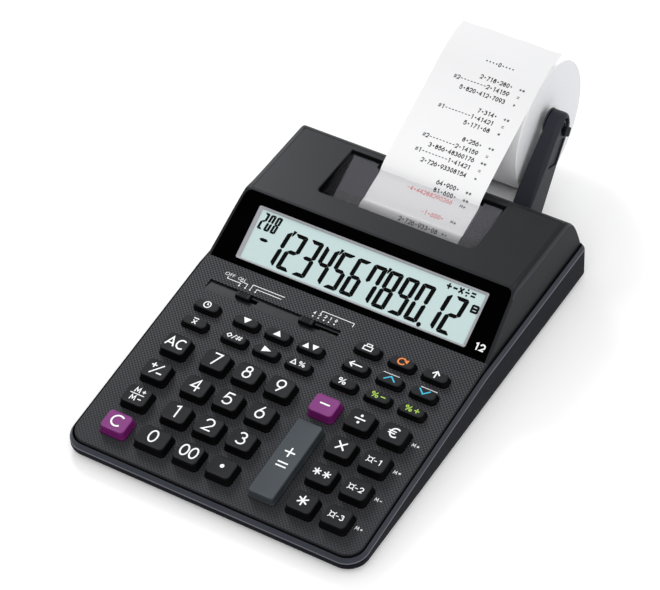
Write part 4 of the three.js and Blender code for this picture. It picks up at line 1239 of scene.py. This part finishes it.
def arm_wedge(x, taper):
    """Slab on the low-x side of the plane that leans towards the tip."""
    dy, dz = TIP[0] - 252, TIP[1] - 16
    ln = math.hypot(dy, dz)
    uy, uz = dy / ln, dz / ln
    def at(a, xx, w):
        return (xx, 252 + a * uy + w * uz, 16 + a * uz - w * uy)
    pr = [(0.0, x), (ln * 1.4, x + taper * 1.4), (ln * 1.4, x - 6), (0.0, x - 6)]
    v, f = loft([[at(a, xx, -40) for a, xx in pr], [at(a, xx, 40) for a, xx in pr]])
    return make("c", v, f, ["arm"], weighted=False)


def arms():
    for nm, (x0, x1, taper), sgn in (("right_arm", ARM_R, 1), ("left_arm", ARM_L, -1)):
        base = arm_outline()
        n = len(base)
        # outer edge: small bevel along the arm, wide rounding about the tip
        wide = [0.45 + (2.0 if sgn > 0 else 0.6) * max(0.0, min(1.0, (q[1] - 43.5) / 5.0)) ** 1.2 for q in base]
        # the front ridge is rounder too, more so higher up
        for i, q in enumerate(base):
            if q[0] < 262 and q[1] > q[0] - 216:
                wide[i] = max(wide[i], (0.6 if q[0] < 234 else 1.0 if q[0] < 240 else 2.2) if sgn > 0 else 0.8)
        rings = [[(x0 + e, q[0], q[1]) for q in arm_outline(i)] for i, e in ((0.35, 0.0), (0.1, 0.1), (0.001, 0.35))]
        one = [Vector(q) for q in base]
        inw = [Vector(a) - b for a, b in zip(arm_outline(1.0), one)]
        for k in range(6):
            a = math.pi / 2 * k / 5
            rings.append([(x1 - wide[i] * (1 - math.sin(a)), one[i].x + inw[i].x * wide[i] * (1 - math.cos(a)), one[i].y + inw[i].y * wide[i] * (1 - math.cos(a))) for i in range(n)])
        v, f = loft(rings)
        ob = make(nm + "_body", v, f, ["arm", "pit_shade"])
        cutters = [arm_wedge(x0, taper)]
        if sgn > 0:
            # sunken panel behind the front edge on the upper half
            gr = [(254.3, 33.8), (266.9, 44.9), (272.7, 41.2), (263.4, 30.3)]
            cutters.append(prism("c", gr, lambda p, x: (x, p[0], p[1]), x1 - 0.75, x1 + 2, ("arm",)))
            # round pocket inside the tip's ridge
            v, f = loft([[(x, 272.5 + r * math.cos(2 * math.pi * i / 28), 49.5 + r * math.sin(2 * math.pi * i / 28)) for i in range(28)]
                         for r, x in ((3.9, x1 - 1.9), (4.3, x1 - 0.2), (4.6, x1 + 2))])
            cutters.append(make("c", v, f, ["arm"], weighted=False))
        else:
            ch = [(250.3, 33.4), (263.6, 46.2), (265.4, 42.6), (252.2, 29.6)]
            cutters.append(prism("c", ch, lambda p, x: (x, p[0], p[1]), x1 - 1.0, x1 + 2, ("arm",)))
        cut(ob, cutters)
        parts = [ob]
        if sgn > 0:
            # the disc inside the tip is in the lighter rim plastic: a painted highlight on its edge
            parts += [tube("d", 7.3, x0 + taper - 1.4, x0 + taper - 0.6, *TIP, "rim_lit", 40, 0.15), tube("e", 5.4, x0 + taper - 0.7, x0 + taper + 1, *TIP, "arm"),
                      tube("p", 2.6, x0 - 9, x0 + taper + 1, *PIN, "arm"), tube("h", 2.2, x1 - 2.2, x1 - 0.5, 272.6, 50.0, "arm", 24),
                      tube("q", 1.0, x1 - 1.0, x1 - 0.3, 272.6, 50.0, "pit_shade", 16, 0.1)]
            bc = (273.4, 44.9)
            ca, sa = math.cos(math.radians(-39)), math.sin(math.radians(-39))
            o = [(bc[0] + a * ca - b * sa, bc[1] + a * sa + b * ca) for a, b in rrect(-3.7, 3.7, -2.5, 2.5, 0.7, 4)]
            ins = lambda k: [(bc[0] + (a - bc[0]) * k, bc[1] + (b - bc[1]) * k) for a, b in o]
            v, f = loft([[(x, a, b) for a, b in ins(k)] for k, x in ((1.0, x1 - 2.0), (1.0, x1 + 0.9), (0.95, x1 + 1.15), (0.86, x1 + 1.3))])
            parts.append(make("b", v, f, ["case"]))
        else:
            parts += [tube("d", 7.0, x1 - 1, x1 + 1.1, *TIP, "arm"), tube("p", 2.6, x1 - 1, x1 + 9, *PIN, "arm")]
        parts.append(box("t", x0 + 1.1, x1 - 1.1, 223.5, 230, 5.1, 14.9, ("arm",)))
        ob = join(nm + "_moulding", parts)
        # faces turned to the sides get a darker copy of the arm plastic: painted shade
        ob.data.materials.append(MAT["arm_side_shade"])
        for q in ob.data.polygons:
            if abs(q.normal.x) > 0.8 and ob.data.materials[q.material_index] == MAT["arm"]:
                q.material_index = len(ob.data.materials) - 1
        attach(ob, "body")
        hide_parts(nm)


arms()


# ---------------------------------------------------------------------- keys
def dish(kind, u, v):
    """Height of a key's top above its rim: a shallow hollow."""
    w, d, tw, td, h, r = SIZE[kind]
    if kind == "low":
        return 0.0
    return -0.18 * max(0.0, 1 - (2 * u / tw) ** 2)


def key_mesh(nm, x, y, kind, top, skirt):
    w, d, tw, td, h, r = SIZE[kind]
    n = 6
    steps = [
        (5.0, 5.0, 1.4, -4.6), (5.0, 5.0, 1.4, -3.6),
        (w + 1.6, d + 1.6, r + 0.6, -3.6), (w + 1.6, d + 1.6, r + 0.6, -2.97),
        (w + 0.4, d + 0.4, r, -2.97), (w + 0.4, d + 0.4, r, 0.75), (w + 0.2, d + 0.2, r, 0.95), (w - 0.15, d - 0.15, r, 1.05),
        (tw + 0.45, td + 0.55, r, h - 1.0), (tw + 0.22, td + 0.28, r, h - 0.4), (tw - 0.02, td + 0.04, r - 0.1, h - 0.13),
        (tw - 0.4, td - 0.35, r - 0.25, h - 0.03), (tw - 0.9, td - 0.85, r - 0.45, h),
    ]
    loops = []

    def fill(ring):
        """Points along the rear and front straight edges, so each ring follows the hollow."""
        c = 2 * n + 2
        between = lambda p, q: [(p[0] + (q[0] - p[0]) * i / 8, p[1] + (q[1] - p[1]) * i / 8) for i in range(1, 8)]
        return ring[:c] + between(ring[c - 1], ring[c]) + ring[c:] + between(ring[-1], ring[0])

    for a, b, rr, hh in steps:
        loops.append([(p[0], p[1], hh) for p in fill(rrect(-a / 2, a / 2, -b / 2, b / 2, min(rr, a / 2 - 0.1, b / 2 - 0.1), n))])
    # rings towards the middle carry the dish
    last = loops[-1]
    loops[-1] = [(p[0], p[1], h + dish(kind, p[0], p[1])) for p in last]
    for k in (0.92, 0.84, 0.75, 0.66, 0.57, 0.48, 0.39, 0.3, 0.2, 0.1):
        loops.append([(p[0] * k, p[1] * k, h + dish(kind, p[0] * k, p[1] * k)) for p in last])
    v, f = loft(loops)
    m = len(last)
    mats = []
    for k in range(len(loops) - 1):
        # skirt rings take the dark skirt plastic, top rings the lighter top plastic: painted shade on the sides
        mats += [0 if k < 9 else 1] * m
    mats += [0, 1]
    v = [on_deck(x, y, *p) for p in v]
    ob = make(nm + "_cap", v, f, [skirt, top], mats, sharp=40)
    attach(ob, nm)
    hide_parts(nm)
    return ob


def legend(nm, vf, mat="white", i=0):
    x, y, kind = KEYS[nm]
    h = SIZE[kind][4]
    if kind == "low" and nm not in ("key_number", "key_tax_minus", "key_tax_plus", "key_change_percent", "key_up", "key_down"):
        vf = ([(a * 1.22, 0.3 + (b - 0.3) * 1.22) for a, b in vf[0]], vf[1])
    ob = decal(f"{nm}_legend{i or ''}", vf, lambda u, v: on_deck(x, y, u, v, h + dish(kind, u, v) + 0.045), mat)
    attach(ob, nm)


THIN = -0.012


def glyph(t, h, w=None, cx=0.0, cy=0.0, off=THIN):
    return fit(text2d(t, 1.0, off, res=5), w=w, h=h, cx=cx, cy=cy)


def memory(cx, cy, h, sign, t):
    """A capital M with a plus or minus sign."""
    w = h * 0.95
    m = stroke([(cx - w, cy - h / 2), (cx - w * 0.86, cy + h / 2), (cx - w * 0.5, cy - h * 0.2), (cx - w * 0.14, cy + h / 2), (cx, cy - h / 2)], t)
    k = h * 0.33
    parts = [m, stroke([(cx + h * 0.45, cy), (cx + h * 0.45 + 2 * k, cy)], t)]
    if sign == "+":
        parts.append(stroke([(cx + h * 0.45 + k, cy - k), (cx + h * 0.45 + k, cy + k)], t))
    if sign == "=":
        parts.append(stroke([(cx + h * 0.45, cy + k * 0.8), (cx + h * 0.45 + 2 * k, cy + k * 0.8)], t))
    if sign == "*":
        parts.append(star(cx + h * 0.45 + k, cy, k, t))
    return both(*parts)


def keys():
    for nm, (x, y, kind) in KEYS.items():
        top, skirt = "key_top", "key_skirt_shade"
        if nm in ("key_clear", "key_minus"):
            top, skirt = "purple", "purple_skirt_shade"
        if nm == "key_plus_equals":
            top, skirt = "slate", "slate_skirt_shade"
        key_mesh(nm, x, y, kind, top, skirt)
    T = 0.82
    for d in "123456789":
        legend("key_" + d, numeral(d, {"3": 0.25, "6": -0.15}.get(d, 0.0), {"3": 0.75, "6": 0.4}.get(d, 0.55), 7.4, T))
    legend("key_0", numeral("0", -0.2, 0.5, 7.4, T))
    legend("key_00", both(numeral("0", -2.55, 0.5, 6.9, T), numeral("0", 2.55, 0.5, 6.9, T)))
    legend("key_point", disc(0, 0.4, 1.1, 20))
    legend("key_clear", arc2(0.3, 0.5, 3.2, 3.1, 48, 312, 0.9, 24))
    legend("key_all_clear", both(stroke([(-5.2, -2.3), (-2.9, 3.1), (-0.6, -2.3)], T), stroke([(-4.3, -0.6), (-1.5, -0.6)], 0.7), arc2(2.9, 0.4, 2.4, 2.7, 50, 310, T, 22)))
    legend("key_sign", both(stroke([(-3.7, 2.1), (-0.7, 2.1)], 0.7), stroke([(-2.2, 0.6), (-2.2, 3.6)], 0.7), stroke([(-2.5, -3.0), (2.9, 3.5)], 0.7), stroke([(1.0, -1.9), (4.0, -1.9)], 0.75)))
    legend("key_markup", both(memory(0.4, 2.9, 2.9, "+", 0.55), stroke([(-3.9, 0.6), (3.9, 0.6)], 0.45), memory(0.4, -1.9, 2.9, "-", 0.55)))
    legend("key_minus", stroke([(-2.7, 0.5), (2.7, 0.5)], 0.85))
    legend("key_divide", both(stroke([(-2.9, 0.3), (2.9, 0.3)], 0.8), disc(0, 2.4, 0.72), disc(0, -1.8, 0.72)))
    legend("key_multiply", both(stroke([(-2.3, -1.7), (2.3, 2.9)], 0.82), stroke([(-2.3, 2.9), (2.3, -1.7)], 0.82)))
    legend("key_total", star(0, 0.5, 2.9, 0.8))
    legend("key_grand_total", both(star(-2.7, 0.4, 2.1, 0.65), star(2.5, 0.4, 2.1, 0.65)))
    legend("key_convert", both(arc2(0.5, 0.5, 2.5, 2.6, 50, 310, 0.75, 20), stroke([(-3.1, 1.15), (1.1, 1.15)], 0.6), stroke([(-3.1, -0.1), (0.8, -0.1)], 0.6)))
    for i in (1, 2, 3):
        ray4 = [stroke([(-2.4 + a * 0.95, b * 0.95), (-2.4 + a * 1.7, b * 1.7)], 0.42) for a, b in ((1, 1), (1, -1), (-1, 1), (-1, -1))]
        legend(f"key_rate_{i}", both(ring(-2.4, 0.0, 1.15, 0.42, 20), *ray4, stroke([(-0.4, 0.0), (1.1, 0.0)], 0.42), numeral(str(i), 2.9, 0.0, 3.2, 0.5)))
    legend("key_plus_equals", both(stroke([(-2.8, 3.9), (2.8, 3.9)], 0.85), stroke([(0, 1.1), (0, 6.7)], 0.85), stroke([(-2.8, -2.7), (2.8, -2.7)], 0.8), stroke([(-2.8, -4.9), (2.8, -4.9)], 0.8)))
    # low keys
    legend("key_clock", both(ring(0, 0.3, 1.5, 0.45), stroke([(0, 1.2), (0, 0.3), (0.8, 0.3)], 0.4)))
    legend("key_average", both(stroke([(-0.9, -1.2), (0.9, 0.7)], 0.45), stroke([(-0.9, 0.7), (0.9, -1.2)], 0.45), stroke([(-1.2, 1.6), (1.2, 1.6)], 0.45)))
    legend("key_cost", poly([(-1.8, 1.5), (0, -1.2), (1.8, 1.5)]))
    legend("key_sell", poly([(-1.8, -1.0), (1.8, -1.0), (0, 1.7)]))
    legend("key_margin", both(poly([(-3.3, -1.0), (-0.3, -1.0), (-1.8, 1.6)]), poly([(0.3, 1.6), (1.8, -1.0), (3.3, 1.6)])))
    legend("key_number", both(stroke([(-4.2, 0.4), (-2.9, 1.6), (-1.6, 0.4), (-2.9, -0.8)], 0.5, True), stroke([(-1.0, -1.1), (0.7, 1.8)], 0.45),
                              stroke([(1.7, -1.0), (2.3, 1.7)], 0.45), stroke([(3.1, -1.0), (3.7, 1.7)], 0.45), stroke([(1.1, 0.9), (4.2, 0.9)], 0.4), stroke([(0.9, -0.2), (4.0, -0.2)], 0.4)))
    legend("key_shift", poly([(-1.6, -1.1), (2.2, 0.4), (-1.6, 1.9)]))
    def percent(cx, cy, k=1.0, t=0.45):
        return both(ring(cx - 1.05 * k, cy + 0.75 * k, 0.55 * k, t, 14), ring(cx + 1.05 * k, cy - 0.75 * k, 0.55 * k, t, 14), stroke([(cx - 1.0 * k, cy - 1.35 * k), (cx + 1.0 * k, cy + 1.35 * k)], t))
    legend("key_change_percent", both(stroke([(-4.0, -1.0), (-1.2, -1.0), (-2.6, 1.6)], 0.5, True), percent(1.9, 0.3)))
    legend("key_print", both(stroke([(-1.9, -0.9), (1.9, -0.9), (1.9, 0.9), (-1.9, 0.9)], 0.45, True), stroke([(-1.1, 0.9), (-1.1, 2.1), (1.1, 2.1), (1.1, 0.9)], 0.4)))
    legend("key_correct", both(stroke([(-2.6, 0.3), (2.8, 0.3)], 0.55), stroke([(-1.2, 1.7), (-2.8, 0.3), (-1.2, -1.1)], 0.55)))
    legend("key_percent", percent(-0.8, 0.3))
    arc = [(1.7 * math.cos(math.radians(a)), 0.3 + 1.5 * math.sin(math.radians(a))) for a in range(30, 331, 20)]
    legend("key_reprint", both(stroke(arc, 0.6), poly([(0.6, 1.1), (2.6, 1.9), (2.3, -0.2)])), "orange")
    legend("key_up", stroke([(-3.0, -0.9), (0, 1.7), (3.0, -0.9)], 0.7), "cyan")
    legend("key_down", stroke([(-3.0, 1.9), (0, -0.9), (3.0, 1.9)], 0.7), "cyan")
    legend("key_tax_minus", both(percent(-1.7, 0.3, 1.1, 0.5), stroke([(1.4, 0.3), (4.0, 0.3)], 0.6)), "green")
    legend("key_tax_plus", both(percent(-1.7, 0.3, 1.1, 0.5), stroke([(1.4, 0.3), (4.0, 0.3)], 0.6), stroke([(2.7, -1.0), (2.7, 1.6)], 0.6)), "green")
    legend("key_feed", both(stroke([(0, -1.3), (0, 1.9)], 0.6), stroke([(-1.6, 0.5), (0, 2.1), (1.6, 0.5)], 0.6)))


keys()
window()
lcd()


# ----------------------------------------------------------- slide switches
def knobs():
    for nm, body, cx in (("power_switch_knob", "power_knob", -48.7), ("decimal_switch_knob", "decimal_knob", -12.1)):
        steps = [(8.4, 3.6, 0.5, -0.35), (8.4, 3.6, 0.6, 0.4), (7.9, 3.2, 0.7, 1.6), (7.3, 2.7, 0.7, 2.0)]
        loops = [[on_deck(cx, 112.95, p[0], p[1], h) for p in rrect(-a / 2, a / 2, -b / 2, b / 2, r, 4)] for a, b, r, h in steps]
        v, f = loft(loops)
        m = len(loops[0])
        # the knob's sides take the dark skirt plastic: painted shade
        ob = make("k", v, f, ["key_skirt_shade", "key_top"], [0] * (2 * m) + [1] * m + [0, 1])
        ribs = [prism("c", rrect(u - 0.22, u + 0.22, -2.5, 2.5, 0.1, 2), lambda p, h: on_deck(cx, 112.95, p[0], p[1], h), 1.75, 3, ("key_skirt_shade",)) for u in (-1.8, -0.6, 0.6, 1.8)]
        cut(ob, ribs)
        t1 = prism("t", rrect(-3.4, 3.4, -0.95, 0.95, 0.2, 2), lambda p, h: on_deck(cx, 112.95, p[0], p[1], h), -3.4, -0.3, ("key_skirt_shade",))
        t2 = prism("t", rrect(-6, 6, -2.6, 2.6, 0.3, 2), lambda p, h: on_deck(cx, 112.95, p[0], p[1], h), -3.9, -3.05, ("key_skirt_shade",))
        bits = [ob, t1, t2]
        if nm == "power_switch_knob":
            # thin cover that slides in the sunken strip over the slot's end
            fl = lambda v, up: -0.5545 - 0.15135 * v + up
            q = [(-14.2, -1.6), (-3.9, -1.6), (-3.9, 2.3), (-14.2, 2.3)]
            q2 = [(-13.9, -1.3), (-4.0, -1.3), (-4.0, 2.0), (-13.9, 2.0)]
            v, f = loft([[on_deck(cx, 112.5, p[0], p[1], fl(p[1], 0.015)) for p in q], [on_deck(cx, 112.5, p[0], p[1], fl(p[1], 0.05)) for p in q2]])
            bits.append(make("sl", v, f, ["deck_smooth"]))
        ob = join(nm + "_cap", bits)
        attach(ob, body)
        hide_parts(nm)


knobs()


def deck_marks():
    at = lambda u, v: (u, v, deck_z(v) + 0.035)
    parts = [disc(x, 118.3, 0.42, 12) for x in (-54.8, -51.2, -48.4, -45.2)]
    parts += [disc(x, 117.9, 0.42, 12) for x in (-11.5, -8.4, -5.25, -2.5, 0.7)]
    parts += [glyph("OFF", 1.9, 5.6, cx=-62.4, cy=122.5), glyph("ON", 1.9, 3.9, cx=-55.6, cy=122.5)]
    parts += [stroke([(-62.6, 121.2), (-62.6, 119.9), (-54.8, 119.9), (-54.8, 119.0)], 0.34), stroke([(-56.0, 121.2), (-51.2, 120.9), (-51.2, 119.0)], 0.34)]
    parts += [stroke([(-48.4, 119.0), (-48.4, 121.8), (-30.0, 121.8)], 0.34), stroke([(-45.2, 119.0), (-45.2, 120.0), (-31.0, 120.0)], 0.34)]
    for x, c in ((-11.6, "4"), (-8.5, "3"), (-5.4, "2"), (-2.5, "1"), (0.6, "0")):
        parts.append(numeral(c, x, 120.2, 1.8, 0.34))
    parts += [stroke([(-8.6, 121.5), (-8.6, 122.6), (9.6, 122.6), (9.6, 120.4)], 0.34)]
    parts += [stroke([(37.2, 103.6), (46.0, 103.6)], 0.34), stroke([(58.0, 103.6), (67.0, 103.6)], 0.34)]
    for i, y in enumerate((70.0, 52.4, 35.0, 17.0)):
        t = ("*", "=", "-", "+")[i]
        parts.append(memory(73.1, y + 1.5, 1.8, t, 0.34))
    ob = decal("deck_marks", both(*parts), at, "white")
    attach(ob, "body")


deck_marks()

# ----------------------------------------------------- inner nodes and plates
for node, mat in (("battery_door", "case"), ("main_board", "board"), ("key_mat", "mat"), ("printer_mechanism", "mech"), ("platen_roller", "rubber")):
    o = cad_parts[node]
    o.data.materials.clear()
    o.data.materials.append(MAT[mat])

# --------------------------------------------------------------------- stage
cam_d = bpy.data.cameras.new("camera")
cam = bpy.data.objects.new("camera", cam_d)
bpy.context.scene.collection.objects.link(cam)
cam_d.sensor_width = 36.0
cam_d.sensor_fit = "HORIZONTAL"
cam_d.lens = 2879.98 / 660 * 36.0
cam_d.clip_start = 0.05
R = Vector((0.8565662555689593, 0.5144716380619928, -0.04016445506143733))
U = Vector((-0.33921448725473535, 0.620005411752628, 0.7074792018384437))
B = Vector((0.3888801633628017, -0.5923784457821404, 0.705591946889742))
C = W((543.1671935, -710.5573109, 1027.3917111))
cam.matrix_world = Matrix(((R.x, U.x, B.x, C.x), (R.y, U.y, B.y, C.y), (R.z, U.z, B.z, C.z), (0, 0, 0, 1)))
bpy.context.scene.camera = cam


def area(name, loc, target, size, power, col=(1, 1, 1)):
    d = bpy.data.lights.new(name, "AREA")
    d.shape = "RECTANGLE"
    d.size, d.size_y = size
    d.energy = power
    d.color = col
    o = bpy.data.objects.new(name, d)
    bpy.context.scene.collection.objects.link(o)
    o.location = loc
    o.rotation_mode = "QUATERNION"
    o.rotation_quaternion = (Vector(target) - Vector(loc)).to_track_quat("-Z", "Y")
    return o


area("key_softbox", (-0.52, 0.42, 0.52), (-0.04, 0.02, 0.03), (0.26, 0.26), 2.9)
area("top_softbox", (0.45, -0.95, 1.35), (0, 0, 0.02), (1.2, 1.2), 6.0)
area("side_softbox", (1.0, 0.1, 0.5), (0, 0.05, 0.03), (0.5, 0.7), 1.6)

world = bpy.data.worlds.new("studio")
bpy.context.scene.world = world
world.use_nodes = True
bg = world.node_tree.nodes["Background"]
bg.inputs[0].default_value = (1, 1, 1, 1)
bg.inputs[1].default_value = 0.76

fm = bpy.data.meshes.new("floor")
fm.from_pydata([(-6, -6, -0.0002), (6, -6, -0.0002), (6, 6, -0.0002), (-6, 6, -0.0002)], [], [(0, 1, 2, 3)])
floor = bpy.data.objects.new("floor", fm)
bpy.context.scene.collection.objects.link(floor)
mf, nt, b, tc = base_mat("floor_pale")
b.inputs["Base Color"].default_value = (0.9, 0.9, 0.9, 1)
b.inputs["Emission Color"].default_value = (1, 1, 1, 1)
b.inputs["Emission Strength"].default_value = 0.16
b.inputs["Roughness"].default_value = 0.9
fm.materials.append(mf)
bpy.context.scene.view_settings.view_transform = "Standard"
